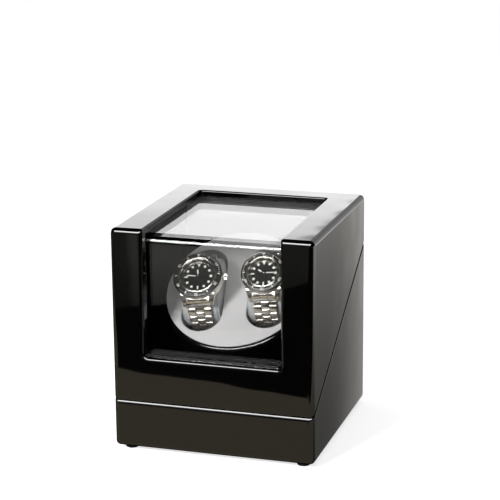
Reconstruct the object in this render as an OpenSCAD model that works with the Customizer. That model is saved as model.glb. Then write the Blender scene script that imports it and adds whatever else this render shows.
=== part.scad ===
// Double watch winder box: lacquered case with a sloping lid joint, bent clear
// window, tilted turntable with two cushion cups, geared drive and two watches.
// Units mm, +Z up, origin at the bottom centre, front face towards -Y.

/* [Case] */
// Outside width of the case
case_w = 180; // [174:1:215]
// Outside depth of the case
case_d = 180; // [176:1:215]
// Overall height, feet included
case_h = 200; // [196:1:235]
// Thickness of the case walls
wall = 11; // [9:0.5:11.5]
// Radius of the long outer edges
edge_r = 4; // [2:0.5:4.5]
// Height of the lid joint at the front face
split_front = 46; // [42:1:48]
// Height of the lid at the back face
lid_back = 43; // [40:1:46]
// Shadow gap between lid and base
gap = 0.8; // [0.6:0.1:1.2]

/* [Window] */
// Width of the posts beside the window
post_w = 29; // [24:1:34]
// Height of the front rail above the lid joint
rail_h = 41; // [36:1:46]
// Depth of the rail behind the top opening
rear_rail = 25.5; // [20:0.5:30]
// Thickness of the clear sheet
pane_t = 3; // [2:0.5:3]
// Depth of the sheet below the top face
top_t = 6.5; // [5:0.5:8]
// Outside radius of the bend in the sheet
bend_r = 8.5; // [6:0.5:10]

/* [Turntable] */
// Tilt of the turntable from level
disc_tilt = 36; // [34:0.5:37]
// Radius of the velvet pad
pad_r = 63.5; // [61:0.5:64.5]
// Angle at which the turntable is parked
park = 9; // [0:1:30]
// Half the distance between the two cups
cup_x = 29; // [29:0.5:30]
// Clear width of a cup
cup_w = 36.5; // [36:0.5:37]
// Clear length of a cup
cup_len = 91; // [88:1:92]
// Clear depth of a cup
cup_deep = 42; // [41.5:0.5:42.5]

/* [Drive] */
// Module of the gear teeth
gear_m = 1; // [0.9:0.05:1]
// Teeth on the turntable gear
gear_z = 72; // [68:1:76]
// Teeth on the motor pinion
pin_z = 16; // [14:1:18]

/* [Watches] */
// Outside radius of the left bezel
bezel_l = 22; // [21:0.5:22]
// Outside radius of the right bezel
bezel_r = 20; // [19.5:0.5:21]
// Forward lean of the cushions in their cups
lean = 11; // [8:1:13]
// Width of a cushion
cush_w = 33.6; // [32:0.2:34]

/* [Fittings] */
// Height of the feet
foot_h = 4; // [2:0.5:6]
// Radius of the feet
foot_r = 6; // [5:0.5:8]
// Offset of each hinge from the middle
hinge_x = 52; // [45:1:58]

/* [Hidden] */
$fn = 72;
lacquer = "#0b0b0c"; steel = "#c9ccd0"; ink = "#16171a"; velvet = "#c6c7c9";
// inside half sizes and window edges
in_x = case_w/2 - wall; in_y = case_d/2 - wall;
win_x = case_w/2 - post_w; win_back = case_d/2 - rear_rail;
rail_z = split_front + rail_h; pane_z = case_h - top_t;
// the joint plane rises from front to back
split_back = case_h - lid_back;
slope = atan((split_back - split_front)/case_d);
// floor and deck
floor_t = 6; floor_lip = 6; deck_t = 3; deck_down = 4;
// turntable: centre of the velvet face
disc_c = [0, -case_d/2 + 73, case_h - 66.5];
rim_r = pad_r + 3.4; pad_t = 1.5; liner_t = 1.2; well_t = 1.6;
well_n = -cup_deep - liner_t - well_t;      // underside of the wells
hub_n = well_n - 0.4;                       // underside of the hub
plate_top = 3;                              // thickness of the turntable under its velvet
hub_r = cup_x - cup_w/2 - liner_t - well_t - 0.1;
gear_n = hub_n - 6; gear_t = 4;             // underside of the gear rim
plate_n = gear_n - 1.6; plate_t = 3;        // top of the chassis plate
shaft_r = 4; deck_hole = pad_r - 0.5;
gear_r = gear_m*gear_z/2; pin_r = gear_m*pin_z/2;
centre_d = gear_r + pin_r + 0.2;            // gear centre distance
// motor: radii of gearbox and can, and the end of the can, set above the floor
box_r = 16.5; can_r = 12; motor_clear = 9.7;
can_n = (foot_h + floor_t + motor_clear - disc_c[2] + (centre_d + can_r)*sin(disc_tilt))/cos(disc_tilt);
foot_in = 12;
rib_x = 49;                                 // half the distance between the chassis ribs
// cushions and watches
core_r = 22; core_s = 17; cush_n = -4; link_t = 3.4;
path_r = core_r + 0.2 + link_t/2;
rows = 7; row_s = 25.6; row_p = 7.15;
// hinges
leaf_l = 30; leaf_t = 1.2; knuckle_r = 1.9; knuckle_y = 1.2; pin_hr = 0.8;
base_screw = 7; lid_screw = 7.5;
// back controls
ctl_z = 71; ctl_w = 76; ctl_h = 34; ctl_t = 2; jack_x = -24; rock_x = 24;
face_y = case_d/2 - 0.2;

// ---------------------------------------------------------------- helpers
// rounded rectangle about the origin
module rrect(w, h, r) {
  square([w - 2*r, h], center = true);
  square([w, h - 2*r], center = true);
  for (sx = [-1, 1], sy = [-1, 1])
    translate([sx*(w/2 - r), sy*(h/2 - r)]) circle(r = r);
}
// slot with round ends, long along y
module slot(w, len) {
  square([w, len - w], center = true);
  for (s = [-1, 1]) translate([0, s*(len - w)/2]) circle(d = w);
}
// waste outside a rounded corner at p, whose edges leave at angles a1 < a2
module corner_cut(p, a1, a2, r) {
  h = (a2 - a1)/2; m = (a1 + a2)/2;
  c = p + r/sin(h)*[cos(m), sin(m)];
  q1 = p + r/tan(h)*[cos(a1), sin(a1)];
  q2 = p + r/tan(h)*[cos(a2), sin(a2)];
  difference() {
    polygon([c, q1 + 0.6*(q1 - c), p + 0.8*(p - c), q2 + 0.6*(q2 - c)]);
    translate(c) circle(r = r);
  }
}
// side-view profile (y, z) run along x, and front-view profile (x, z) along y
module along_x(len) { rotate([90, 0, 90]) linear_extrude(len, center = true) children(); }
module along_y(len) { rotate([90, 0, 0]) linear_extrude(len, center = true) children(); }
// frames: joint plane, turntable, parked turntable, cushion of side s, watch head
module split_frame() { translate([0, case_d/2, split_back]) rotate([slope, 0, 0]) children(); }
module disc_frame() { translate(disc_c) rotate([disc_tilt, 0, 0]) children(); }
module spin_frame() { disc_frame() rotate([0, 0, park]) children(); }
module loop_frame(s) {
  spin_frame() translate([s*cup_x, 0, cush_n]) rotate([lean, 0, 0]) children();
}
module head_frame(s) { loop_frame(s) translate([0, 0, core_r]) children(); }
// countersunk and pan-head screws, head at z = 0, shank down -z
module flat_screw(r, len) {
  difference() {
    union() {
      translate([0, 0, -len]) cylinder(r = r, h = len);
      translate([0, 0, -r]) cylinder(r1 = r, r2 = 2*r, h = r);
    }
    for (a = [0, 90]) rotate([0, 0, a]) cube([2.2*r, 0.5*r, r], center = true);
  }
}
module pan_screw(r, len) {
  difference() {
    union() {
      translate([0, 0, -len]) cylinder(r = r, h = len + 0.2);
      cylinder(r = 2*r, h = 1.5*r);
    }
    for (a = [0, 90]) rotate([0, 0, a])
      translate([0, 0, 1.5*r]) cube([2.4*r, 0.5*r, 1.4*r], center = true);
  }
}
// whole case outline with all long edges rounded
module case_block() {
  mid_z = (case_h + foot_h)/2; tall = case_h - foot_h;
  intersection() {
    translate([0, 0, foot_h]) linear_extrude(tall) rrect(case_w, case_d, edge_r + 0.5);
    along_y(case_d + 4) translate([0, mid_z]) rrect(case_w, tall, edge_r);
    along_x(case_w + 4) translate([0, mid_z]) rrect(case_d, tall, edge_r);
  }
}
// hinge room cut from both halves
module hinge_room(d) {
  for (s = [-1, 1]) translate([s*hinge_x, 0, 0]) {
    translate([-leaf_l/2 - 0.2, -9.2, -d]) cube([leaf_l + 0.4, 12, 2*d]);
    translate([-leaf_l/2 - 0.2, knuckle_y, 0]) rotate([0, 90, 0])
      cylinder(r = knuckle_r + 0.3, h = leaf_l + 0.4);
  }
}

// ---------------------------------------------------------------- base
function floor_spots() = [for (s = [-1, 1], t = [-1, 1])
  each [[s*(in_x + 3), t*in_y*0.62], [s*in_x*0.62, t*(in_y + 3)]]];

module base_shell() color(lacquer) difference() {
  intersection() {
    case_block();
    split_frame() along_y(900) translate([0, -gap/2 - 300]) rrect(case_w, 600, 2.5);
  }
  translate([-in_x, -in_y, foot_h]) cube([2*in_x, 2*in_y, case_h]);
  translate([-in_x - floor_lip, -in_y - floor_lip, foot_h - 1])
    cube([2*(in_x + floor_lip), 2*(in_y + floor_lip), floor_t + 1]);
  along_x(case_w + 4) {
    dz = gap/2/cos(slope);
    corner_cut([-case_d/2, split_front - dz], -90, slope, 2.5);
    corner_cut([case_d/2, split_back - dz], 180 + slope, 270, 1.5);
  }
  // opening and seat for the control plate
  translate([-ctl_w/2 + 4, in_y - 1, ctl_z - ctl_h/2 + 4]) cube([ctl_w - 8, wall + 2, ctl_h - 8]);
  translate([-ctl_w/2 - 0.1, face_y - ctl_t, ctl_z - ctl_h/2 - 0.1])
    cube([ctl_w + 0.2, 5, ctl_h + 0.2]);
  split_frame() hinge_room(leaf_t + 0.05);
  split_frame() hinge_screw_spots() translate([0, 0, -base_screw - 0.4]) cylinder(r = 1.15, h = base_screw + 1);
  for (p = floor_spots()) translate([p[0], p[1], foot_h + floor_t - 1]) cylinder(r = 1.6, h = 13);
}
module base_floor() color("#1d1c1b") difference() {
  e = floor_lip - 0.2;
  translate([-in_x - e, -in_y - e, foot_h]) cube([2*(in_x + e), 2*(in_y + e), floor_t]);
  for (p = floor_spots()) translate([p[0], p[1], foot_h]) {
    translate([0, 0, -1]) cylinder(r = 1.7, h = floor_t + 2);
    translate([0, 0, -0.01]) cylinder(r1 = 3.3, r2 = 1.7, h = 1.7);
  }
  for (s = [-1, 1], y = bracket_spots()) translate([s*(rib_x + 9), y, foot_h + 0.6]) cylinder(r = 1.3, h = 9);
}
module floor_screws() color("#8b8d90")
  for (p = floor_spots()) translate([p[0], p[1], foot_h + 0.1]) rotate([180, 0, 0]) flat_screw(1.5, 17);
module rubber_feet() color("#222224")
  for (sx = [-1, 1], sy = [-1, 1]) translate([sx*(case_w/2 - foot_in), sy*(case_d/2 - foot_in), 0])
    rotate_extrude() polygon([[0, 0], [foot_r - 0.6, 0], [foot_r, 0.6], [foot_r, foot_h], [0, foot_h]]);

// slab parallel to the joint plane, trimmed to the inside of the case
module slope_slab(top, thick, mx, my) intersection() {
  split_frame() translate([-case_w, -case_d*2, -top - thick]) cube([2*case_w, 3*case_d, thick]);
  translate([-mx, -my, foot_h]) cube([2*mx, 2*my, case_h]);
}
module deck_panel() color("#151516") difference() {
  slope_slab(deck_down, deck_t, in_x - 0.2, in_y - 0.2);
  disc_frame() translate([0, 0, -90]) cylinder(r = deck_hole, h = 120, $fn = 96);
}
module deck_battens() color("#b08a5a") difference() {
  slope_slab(deck_down + deck_t, 8, in_x, in_y - 1);
  translate([-in_x + 8, -case_d, 0]) cube([2*in_x - 16, 2*case_d, case_h]);
}

// ---------------------------------------------------------------- chassis
function bracket_spots() = [disc_c[1] + 2, disc_c[1] + 46];
// side-view point of the turntable frame: v up the slope, n along the axis
function vn(v, n) = [disc_c[1] + v*cos(disc_tilt) - n*sin(disc_tilt),
                     disc_c[2] + v*sin(disc_tilt) + n*cos(disc_tilt)];
module chassis_spots() for (sx = [-1, 1], v = [-sqrt(pow(deck_hole - 3, 2) - pow(rib_x, 2)), 26])
  translate([sx*rib_x, v, plate_n]) children();

module chassis_brackets() color("#2a2b2e") difference() {
  z0 = foot_h + floor_t;
  a = vn(-60, plate_n - plate_t); b = vn(34, plate_n - plate_t);
  for (s = [-1, 1]) {
    translate([s*rib_x, 0, 0]) along_x(6) difference() {
      polygon([[a[0], z0], [b[0], z0], b, a]);
      polygon([[a[0] + 12, z0 + 14], [b[0] - 12, z0 + 14],
               b - [12, 22], a + [12, -6]]);
    }
    translate([s > 0 ? rib_x + 3 : -rib_x - 15, a[0], z0]) cube([12, b[0] - a[0], 4]);
  }
  disc_frame() chassis_spots() translate([0, 0, -12]) cylinder(r = 1.25, h = 14);
  for (s = [-1, 1], y = bracket_spots()) translate([s*(rib_x + 9), y, z0 - 1]) cylinder(r = 1.3, h = 8);
}
module chassis_plate() color("#2a2b2e") disc_frame() difference() {
  translate([-rib_x - 3, -62, plate_n - plate_t]) cube([2*rib_x + 6, 98, plate_t]);
  translate([0, 0, plate_n - 10]) cylinder(r = 6, h = 20);
  translate([0, -centre_d, plate_n - 10]) cylinder(r = 4, h = 20);
  motor_spots() translate([0, 0, -8]) cylinder(r = 1.3, h = 20);
  chassis_spots() translate([0, 0, -8]) cylinder(r = 1.3, h = 20);
}
module chassis_screws() color(steel) {
  disc_frame() chassis_spots() pan_screw(1.2, 9);
  for (s = [-1, 1], y = bracket_spots())
    translate([s*(rib_x + 9), y, foot_h + floor_t + 4]) pan_screw(1.2, 9);
}
module shaft_bush() color("#b58a3a") disc_frame() rotate_extrude()
  polygon([[shaft_r + 0.05, plate_n - 10], [6, plate_n - 10], [6, plate_n], [8, plate_n],
           [8, plate_n + 1.4], [shaft_r + 0.05, plate_n + 1.4]]);
module motor_spots() for (s = [-1, 1]) translate([s*12.2, -centre_d, plate_n]) children();
module gear_motor() color("#9a9ca0") disc_frame() difference() {
  n1 = plate_n - plate_t;
  union() {
    translate([0, -centre_d, n1 - 18]) cylinder(r = box_r, h = 18);
    translate([0, -centre_d, can_n]) cylinder(r = can_r, h = n1 - 17 - can_n);
    translate([0, -centre_d, can_n - 3]) cylinder(r = 5, h = 4);
    for (s = [-1, 1]) translate([s*7 - 1, -centre_d - 2, can_n - 5]) cube([2, 4, 6]);
  }
  translate([0, -centre_d, n1 - 9]) cylinder(r = 1.56, h = 12);
  motor_spots() translate([0, 0, -plate_t - 7]) cylinder(r = 1.25, h = 12);
}
module motor_screws() color(steel) disc_frame() motor_spots() pan_screw(1.2, 8);

// ---------------------------------------------------------------- back controls
// point on the outside of the control plate; +z of the child points out of the back
module panel(x) { translate([x, face_y, ctl_z]) rotate([-90, 0, 0]) children(); }
module control_plate() color("#1b1c1e") difference() {
  translate([-ctl_w/2, face_y - ctl_t, ctl_z - ctl_h/2]) cube([ctl_w, ctl_t, ctl_h]);
  panel(jack_x) translate([0, 0, -9]) cylinder(r = 5.55, h = 18);
  panel(0) translate([0, 0, -9]) cylinder(r = 3.05, h = 18);
  translate([rock_x - 4.7, face_y - 9, ctl_z - 7.2]) cube([9.4, 18, 14.4]);
}
module dc_jack() color("#101113") panel(jack_x) {
  difference() {
    union() {
      translate([0, 0, -11]) cylinder(r = 5.5, h = 11.5);
      cylinder(r = 6.8, h = 1.4);
    }
    translate([0, 0, -1.8]) cylinder(r = 2.9, h = 4);
    translate([0, 0, -9]) cylinder(r = 3.5, h = 7.2);
  }
  translate([0, 0, -10]) cylinder(r = 1.05, h = 8);
}
module circuit_board() color("#1f5a36") {
  translate([-34, in_y - 5, ctl_z - 15]) cube([68, 1.6, 30]);
  difference() {
    panel(0) translate([0, 0, -face_y + in_y - 3.5]) cylinder(r = 8, h = wall + 1);
    panel(0) translate([0, 0, -12]) cylinder(r = 3.05, h = 14);
  }
  difference() {
    translate([rock_x - 6, in_y - 3.5, ctl_z - 9]) cube([12, wall + 1, 18]);
    translate([rock_x - 4.7, in_y - 2.3, ctl_z - 7.2]) cube([9.4, 20, 14.4]);
  }
  for (s = [-1, 1]) translate([jack_x + s*3 - 0.5, in_y - 3.5, ctl_z - 1]) cube([1, 2.2, 2]);
}
module mode_knob() color("#2b2c2f") panel(0) difference() {
  union() {
    translate([0, 0, -10]) cylinder(r = 3, h = 11);
    translate([0, 0, 0.3]) cylinder(r = 7, h = 2.3);
  }
  for (a = [0:30:330]) rotate([0, 0, a]) translate([7.7, 0, 0.2]) cylinder(r = 1.1, h = 4);
  translate([-0.4, -6.4, 2.2]) cube([0.8, 5, 1]);
}
module power_rocker() color("#1a1b1d")
  translate([rock_x, face_y - 5, ctl_z]) rotate([8, 0, 0]) along_x(9) intersection() {
    circle(r = 6.6);
    polygon([[-5, -8], [4.9, -8], [6.0, 0], [4.9, 8], [-5, 8]]);
  }

// ---------------------------------------------------------------- hinges
// screw heads lie on the far side of each leaf, +z pointing to the leaf's face
module hinge_screw_spots() for (s = [-1, 1], t = [-1, 1])
  translate([s*hinge_x + t*9, -6.2, 0]) children();
module knuckles(from, to) for (s = [-1, 1])
  translate([s*hinge_x + from, knuckle_y, 0]) rotate([0, 90, 0]) cylinder(r = knuckle_r, h = to - from);
module hinge_leaves(up) {
  k = leaf_l/2; third = leaf_l/3; z0 = up > 0 ? 0.05 : -leaf_t - 0.05;
  split_frame() difference() {
    union() {
      for (s = [-1, 1]) translate([s*hinge_x - k, -9, z0]) cube([leaf_l, 8.1, leaf_t]);
      for (s = [-1, 1]) if (up > 0)
        translate([s*hinge_x - third/2 + 0.1, -2, z0]) cube([third - 0.2, 2 + knuckle_y, leaf_t]);
      else for (x = [-k, third/2 + 0.1])
        translate([s*hinge_x + x, -2, z0]) cube([third - 0.1, 2 + knuckle_y, leaf_t]);
      if (up > 0) knuckles(-third/2 + 0.1, third/2 - 0.1);
      else { knuckles(-k, -third/2 - 0.1); knuckles(third/2 + 0.1, k); }
    }
    translate([-case_w, knuckle_y, 0]) rotate([0, 90, 0]) cylinder(r = up > 0 ? pin_hr + 0.05 : pin_hr, h = 2*case_w);
    hinge_screw_spots() {
      translate([0, 0, -9]) cylinder(r = 1.15, h = 18);
      translate([0, 0, up > 0 ? -0.01 : -1.1]) cylinder(r1 = up > 0 ? 2.2 : 1.1, r2 = up > 0 ? 1.1 : 2.2, h = 1.1);
    }
  }
}
module hinge_base_leaves() color("#b9a26a") hinge_leaves(-1);
module hinge_lid_leaves() color("#b9a26a") hinge_leaves(1);
module hinge_pins() color(steel) split_frame() for (s = [-1, 1])
  translate([s*hinge_x - leaf_l/2 - 0.1, knuckle_y, 0]) rotate([0, 90, 0]) cylinder(r = pin_hr, h = leaf_l + 0.2);
module hinge_base_screws() color("#b9a26a") split_frame()
  hinge_screw_spots() translate([0, 0, -0.08]) flat_screw(1.05, base_screw);
module hinge_lid_screws() color("#b9a26a") split_frame()
  hinge_screw_spots() translate([0, 0, 0.08]) rotate([180, 0, 0]) flat_screw(1.05, lid_screw);
module lid_bumpers() color("#d9dcdf") split_frame() for (s = [-1, 1])
  translate([s*(in_x - 9), -(case_d - wall/2)/cos(slope), -gap/2]) cylinder(r = 3, h = gap);

// ---------------------------------------------------------------- lid
module lid_frame() color(lacquer) difference() {
  intersection() {
    case_block();
    split_frame() along_y(900) translate([0, gap/2 + 300]) rrect(case_w, 600, 1.8);
  }
  translate([-in_x, -in_y, -1]) cube([2*in_x, 2*in_y, pane_z + 1]);
  translate([-win_x, -case_d/2 - 1, rail_z]) cube([2*win_x, case_d/2 + 1 + win_back, case_h]);
  along_x(case_w + 4) {
    dz = gap/2/cos(slope);
    corner_cut([-case_d/2, split_front + dz], slope, 90, 1.8);
    corner_cut([case_d/2, split_back + dz], 90, 180 + slope, 1.8);
  }
  // rounded inner edges of the window opening
  along_x(2*win_x) {
    corner_cut([-case_d/2, rail_z], -90, 0, 3);
    corner_cut([win_back, case_h], -90, 0, 1.6);
  }
  translate([0, 0, rail_z]) linear_extrude(case_h) {
    corner_cut([-win_x, -case_d/2], 90, 180, 1.6);
    corner_cut([win_x, -case_d/2], 0, 90, 1.6);
  }
  translate([0, (win_back - case_d/2 - 10)/2, 0]) along_y(case_d/2 + 10 + win_back) {
    corner_cut([-win_x, case_h], 180, 270, 1.6);
    corner_cut([win_x, case_h], -90, 0, 1.6);
  }
  split_frame() hinge_room(leaf_t + 0.05);
  split_frame() hinge_screw_spots() cylinder(r = 1.15, h = lid_screw + 0.4);
}
module pane_fill(out, zt, zb, r) difference() {
  translate([-in_y + out, zb]) square([in_y - out + win_back + 10, zt - zb]);
  corner_cut([-in_y + out, zt], -90, 0, r);
}
module window() color([0.85, 0.9, 0.93, 0.35]) along_x(2*win_x + 18) difference() {
  pane_fill(0, pane_z, rail_z - 8, bend_r);
  translate([0.0, 0]) pane_fill(pane_t, pane_z - pane_t, rail_z - 20, bend_r - pane_t);
  translate([win_back + 9, rail_z - 20]) square([4, pane_z - pane_t - rail_z + 20]);
}
module back_liner() color(velvet)
  translate([-in_x + 0.4, in_y - 1.6, split_back - wall*tan(slope) + 2.5])
    cube([2*in_x - 0.8, 1.6, pane_z - split_back + wall*tan(slope) - 2.7]);

// ---------------------------------------------------------------- turntable
module turntable_plate() color("#0e0e10") spin_frame() difference() {
  union() {
    rotate_extrude($fn = 120) difference() {
      translate([0, -22]) square([rim_r, 22 - pad_t]);
      translate([-1, -30]) square([rim_r - 1.6, 30 - pad_t - plate_top]);
      corner_cut([rim_r, -pad_t], 180, 270, 3);
    }
    translate([0, 0, hub_n]) cylinder(r = hub_r, h = -hub_n - pad_t - 1);
  }
  for (s = [-1, 1]) translate([s*cup_x, 0, -plate_top - pad_t - 1])
    linear_extrude(80) slot(cup_w + 2*liner_t + 0.1, cup_len + 2*liner_t + 0.1);
  translate([0, 0, hub_n - 1]) cylinder(r = shaft_r, h = 18);
}
// two deep cups, welded under the plate on either side of its hub
module cup_wells() color("#0e0e10") spin_frame() for (s = [-1, 1]) translate([s*cup_x, 0, 0]) difference() {
  translate([0, 0, well_n]) linear_extrude(-well_n - pad_t - plate_top)
    slot(cup_w + 2*(liner_t + well_t), cup_len + 2*(liner_t + well_t));
  translate([0, 0, well_n + well_t])
    linear_extrude(80) slot(cup_w + 2*liner_t + 0.1, cup_len + 2*liner_t + 0.1);
}
module velvet_pad() color(velvet) spin_frame() translate([0, 0, -pad_t]) linear_extrude(pad_t) difference() {
  circle(r = pad_r, $fn = 120);
  for (s = [-1, 1]) translate([s*cup_x, 0]) slot(cup_w, cup_len);
}
module cup_liners() color(velvet) spin_frame() for (s = [-1, 1])
  translate([s*cup_x, 0, -cup_deep - liner_t]) difference() {
    linear_extrude(cup_deep + liner_t - pad_t) slot(cup_w + 2*liner_t, cup_len + 2*liner_t);
    translate([0, 0, liner_t]) linear_extrude(80) slot(cup_w, cup_len);
  }
module drive_shaft() color(steel) spin_frame() difference() {
  translate([0, 0, plate_n - 14]) cylinder(r = shaft_r, h = hub_n + 17 - plate_n + 14);
  translate([0, 0, plate_n - 11.4]) difference() {
    cylinder(r = 8, h = 1.2);
    translate([0, 0, -1]) cylinder(r = shaft_r - 0.7, h = 4);
  }
}
module circlip() color("#77797c") spin_frame() translate([0, 0, plate_n - 11.3]) difference() {
  cylinder(r = 6.4, h = 1);
  translate([0, 0, -1]) cylinder(r = shaft_r - 0.65, h = 3);
  translate([-1.6, 0, -1]) cube([3.2, 9, 3]);
}
// straight-flanked tooth standing on the root circle
module tooth(r, m) {
  polygon([[r - 1.5*m, -0.98*m], [r - 1.2*m, -0.92*m], [r, -0.62*m], [r + 0.88*m, -0.26*m],
           [r + 0.88*m, 0.26*m], [r, 0.62*m], [r - 1.2*m, 0.92*m], [r - 1.5*m, 0.98*m]]);
}
module drive_gear() color("#e6e4dc") disc_frame() translate([0, 0, gear_n]) difference() {
  union() {
    linear_extrude(gear_t) {
      circle(r = gear_r - 1.2*gear_m, $fn = 144);
      for (i = [0:gear_z - 1]) rotate([0, 0, -90 + 360*i/gear_z]) tooth(gear_r, gear_m);
    }
    translate([0, 0, -0.1]) cylinder(r = 9, h = hub_n - gear_n + 0.1);
  }
  translate([0, 0, -2]) cylinder(r = shaft_r, h = 20);
  for (a = [0:60:300]) rotate([0, 0, a]) translate([21, 0, -1]) cylinder(r = 7, h = 9);
}
module motor_pinion() color("#d8b25a") disc_frame() translate([0, -centre_d, 0]) {
  translate([0, 0, gear_n - 0.5]) linear_extrude(gear_t + 1) {
    circle(r = pin_r - 1.2*gear_m);
    for (i = [0:pin_z - 1]) rotate([0, 0, 90 + 360*(i + 0.5)/pin_z]) tooth(pin_r, gear_m);
  }
  translate([0, 0, plate_n - plate_t - 8]) cylinder(r = 1.5, h = 14);
}

// ---------------------------------------------------------------- cushions
module cushion(s) color("#b9bbbb") {
  loop_frame(s) {
    for (t = [-1, 1]) translate([0, t*core_s/2, 0]) rotate([0, 90, 0]) rotate_extrude()
      intersection() {
        rrect(2*core_r, cush_w, 4);
        translate([0, -50]) square([100, 100]);
      }
    along_y(core_s) rrect(cush_w, 2*core_r, 4);
  }
  // two runners under the pillow leave room for the clasp
  spin_frame() for (t = [-1, 1])
    translate([s*cup_x + t*(cush_w/2 - 2.9) - 2.4, -24, -cup_deep + 0.05]) cube([4.8, 48, 30]);
}

// ---------------------------------------------------------------- watches
function bz(s) = s < 0 ? bezel_l : bezel_r;
module watch_case(s) color(steel) head_frame(s) {
  R = bz(s);
  difference() {
    union() {
      cylinder(r = R - 5, h = 1);
      translate([0, 0, 0.6]) cylinder(r = R - 1, h = 8);
      cylinder(r = R - 5.4, h = 12);
      for (sx = [-1, 1], sy = [-1, 1]) translate([sx*11.9, 0, 0]) scale([1, sy, 1]) along_x(2.8)
        polygon([[8, 0.8], [8, 8], [R - 4, 7.9], [R, 5.6], [R + 2.4, 1.6], [R + 2.4, -1],
                 [R + 1, -1.8], [R - 5, 0.4]]);
      for (sy = [-1, 1]) scale([1, sy, 1]) translate([0, 0, 2]) linear_extrude(5.4)
        polygon([[R - 5, 3.6], [R + 1.2, 3.6], [R + 1.4, 4.6], [R - 3, 9.6], [R - 6, 9.6]]);
    }
    translate([0, 0, 7.2]) cylinder(r = R - 6.4, h = 9);
    translate([R - 8, 0, 4.6]) rotate([0, 90, 0]) cylinder(r = 0.85, h = 20);
    translate([R - 1, -3.5, 1]) cube([6, 7, 7.6]);
  }
}
module watch_bezel(s) color(steel) head_frame(s) difference() {
  R = bz(s);
  translate([0, 0, 8.75]) rotate_extrude() polygon([[R - 5.35, 0], [R - 0.6, 0], [R, 0.6],
    [R, 1.8], [R - 1.1, 3.05], [R - 5.35, 3.05]]);
  translate([0, 0, 11.4]) difference() {
    cylinder(r = R - 1.3, h = 3);
    translate([0, 0, -1]) cylinder(r = R - 4.9, h = 6);
  }
  for (a = [0:12:348]) rotate([0, 0, a]) translate([R + 0.55, 0, 8]) cylinder(r = 0.9, h = 6, $fn = 24);
}
module bezel_insert(s) color(ink) head_frame(s) difference() {
  R = bz(s);
  translate([0, 0, 11.4]) cylinder(r = R - 1.35, h = 0.6);
  translate([0, 0, 11]) cylinder(r = R - 4.85, h = 3);
  // engraved ten-minute strokes and the zero mark
  for (i = [1:11]) rotate([0, 0, 30*i]) translate([-0.3, R - 4.2, 11.8]) cube([0.6, i % 3 == 0 ? 2.2 : 1.6, 1]);
  translate([0, 0, 11.8]) linear_extrude(1) polygon([[-1.4, R - 1.9], [1.4, R - 1.9], [0, R - 4.3]]);
}
module watch_dial(s) color(ink) head_frame(s) {
  R = bz(s); q = R - 8.6;
  difference() {
    translate([0, 0, 7.2]) cylinder(r = R - 6.45, h = 0.8);
    translate([0, 0, 7]) cylinder(r = 0.45, h = 3);
  }
  cylinder_post();
  for (i = [1, 2, 4, 5, 7, 8, 10, 11]) rotate([0, 0, -30*i]) translate([0, q, 7.9]) cylinder(r = 0.95, h = 0.35, $fn = 32);
  for (i = [3, 6, 9]) rotate([0, 0, -30*i]) translate([-0.55, q - 1.6, 7.9]) cube([1.1, 2.8, 0.35]);
  translate([0, 0, 7.9]) linear_extrude(0.35) polygon([[-1.5, q + 1.2], [1.5, q + 1.2], [0, q - 1.7]]);
}
module cylinder_post() { translate([0, 0, 7.2]) cylinder(r = 0.5, h = 2.8, $fn = 32); }
module watch_crystal(s) color([0.85, 0.9, 0.95, 0.3]) head_frame(s)
  translate([0, 0, 10.6]) cylinder(r = bz(s) - 6.45, h = 1.9);
// hand pointing to the angle a, clockwise from twelve
module hand(s, z, t, a, len, w) head_frame(s) translate([0, 0, z]) rotate([0, 0, -a])
  linear_extrude(t) difference() {
    union() {
      circle(r = 1.5, $fn = 40);
      translate([-w/2, -2.6]) square([w, len + 1]);
      polygon([[-w/2, len - 1.7], [w/2, len - 1.7], [0, len]]);
      if (w > 1) translate([0, len*0.72]) circle(r = w*0.85, $fn = 32);
    }
    circle(r = 0.55, $fn = 32);
  }
module hour_hand(s, a) color("#e9ebed") hand(s, 8.45, 0.3, a, bz(s)*0.40, 1.5);
module minute_hand(s, a) color("#e9ebed") hand(s, 8.95, 0.3, a, bz(s)*0.60, 1.2);
module second_hand(s, a) color("#e9ebed") hand(s, 9.45, 0.25, a, bz(s)*0.60, 0.5);
module watch_crown(s) color(steel) head_frame(s) translate([bz(s), 0, 4.6]) rotate([0, 90, 0]) difference() {
  union() {
    translate([0, 0, -6]) cylinder(r = 0.8, h = 7);
    cylinder(r = 3, h = 3.6);
  }
  for (a = [0:30:330]) rotate([0, 0, a]) translate([3.35, 0, 0.5]) cylinder(r = 0.6, h = 4, $fn = 20);
}
// place a child on the bracelet loop at arc length q from the top, towards -y
module on_loop(q) {
  f = (q - core_s/2)/path_r*180/PI;
  translate([0, -core_s/2, 0]) rotate([f, 0, 0]) translate([0, 0, path_r]) children();
}
function row_w(k) = 20.4 - 0.42*k;
module link(x, w, len) translate([x, 0, 0]) along_x(w) rotate([0, 0, 90]) slot(link_t, len);
// height above the back of the case that clears the pillow at distance y
function over(y) = sqrt(pow(core_r + 0.5, 2) - pow(y - core_s/2, 2)) - core_r;
module half_bracelet(s) {
  R = bz(s);
  for (k = [0:rows - 1]) on_loop(row_s + (k + 0.5)*row_p)
    for (t = [-1, 1]) link(t*row_w(k)*0.335, row_w(k)*0.33, row_p - 0.25);
  for (k = [0:rows - 1]) on_loop(row_s + k*row_p) link(0, row_w(k)*0.34 + 0.2, row_p - 0.25);
  // end piece between the lugs
  translate([0, 0, core_r]) difference() {
    along_x(20.6) polygon([[-R + 6, 6.6], [-R - 0.6, 4.6], [-R - 2.4, 1.2], [-R - 3, -3.4],
                           [-R - 1.4, over(R + 1.4)], [-R + 4, over(R - 4)]]);
    cylinder(r = R - 0.9, h = 30, center = true);
  }
}
module bracelet(s) color(steel) loop_frame(s) {
  half_bracelet(s);
  mirror([0, 1, 0]) half_bracelet(s);
}
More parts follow.
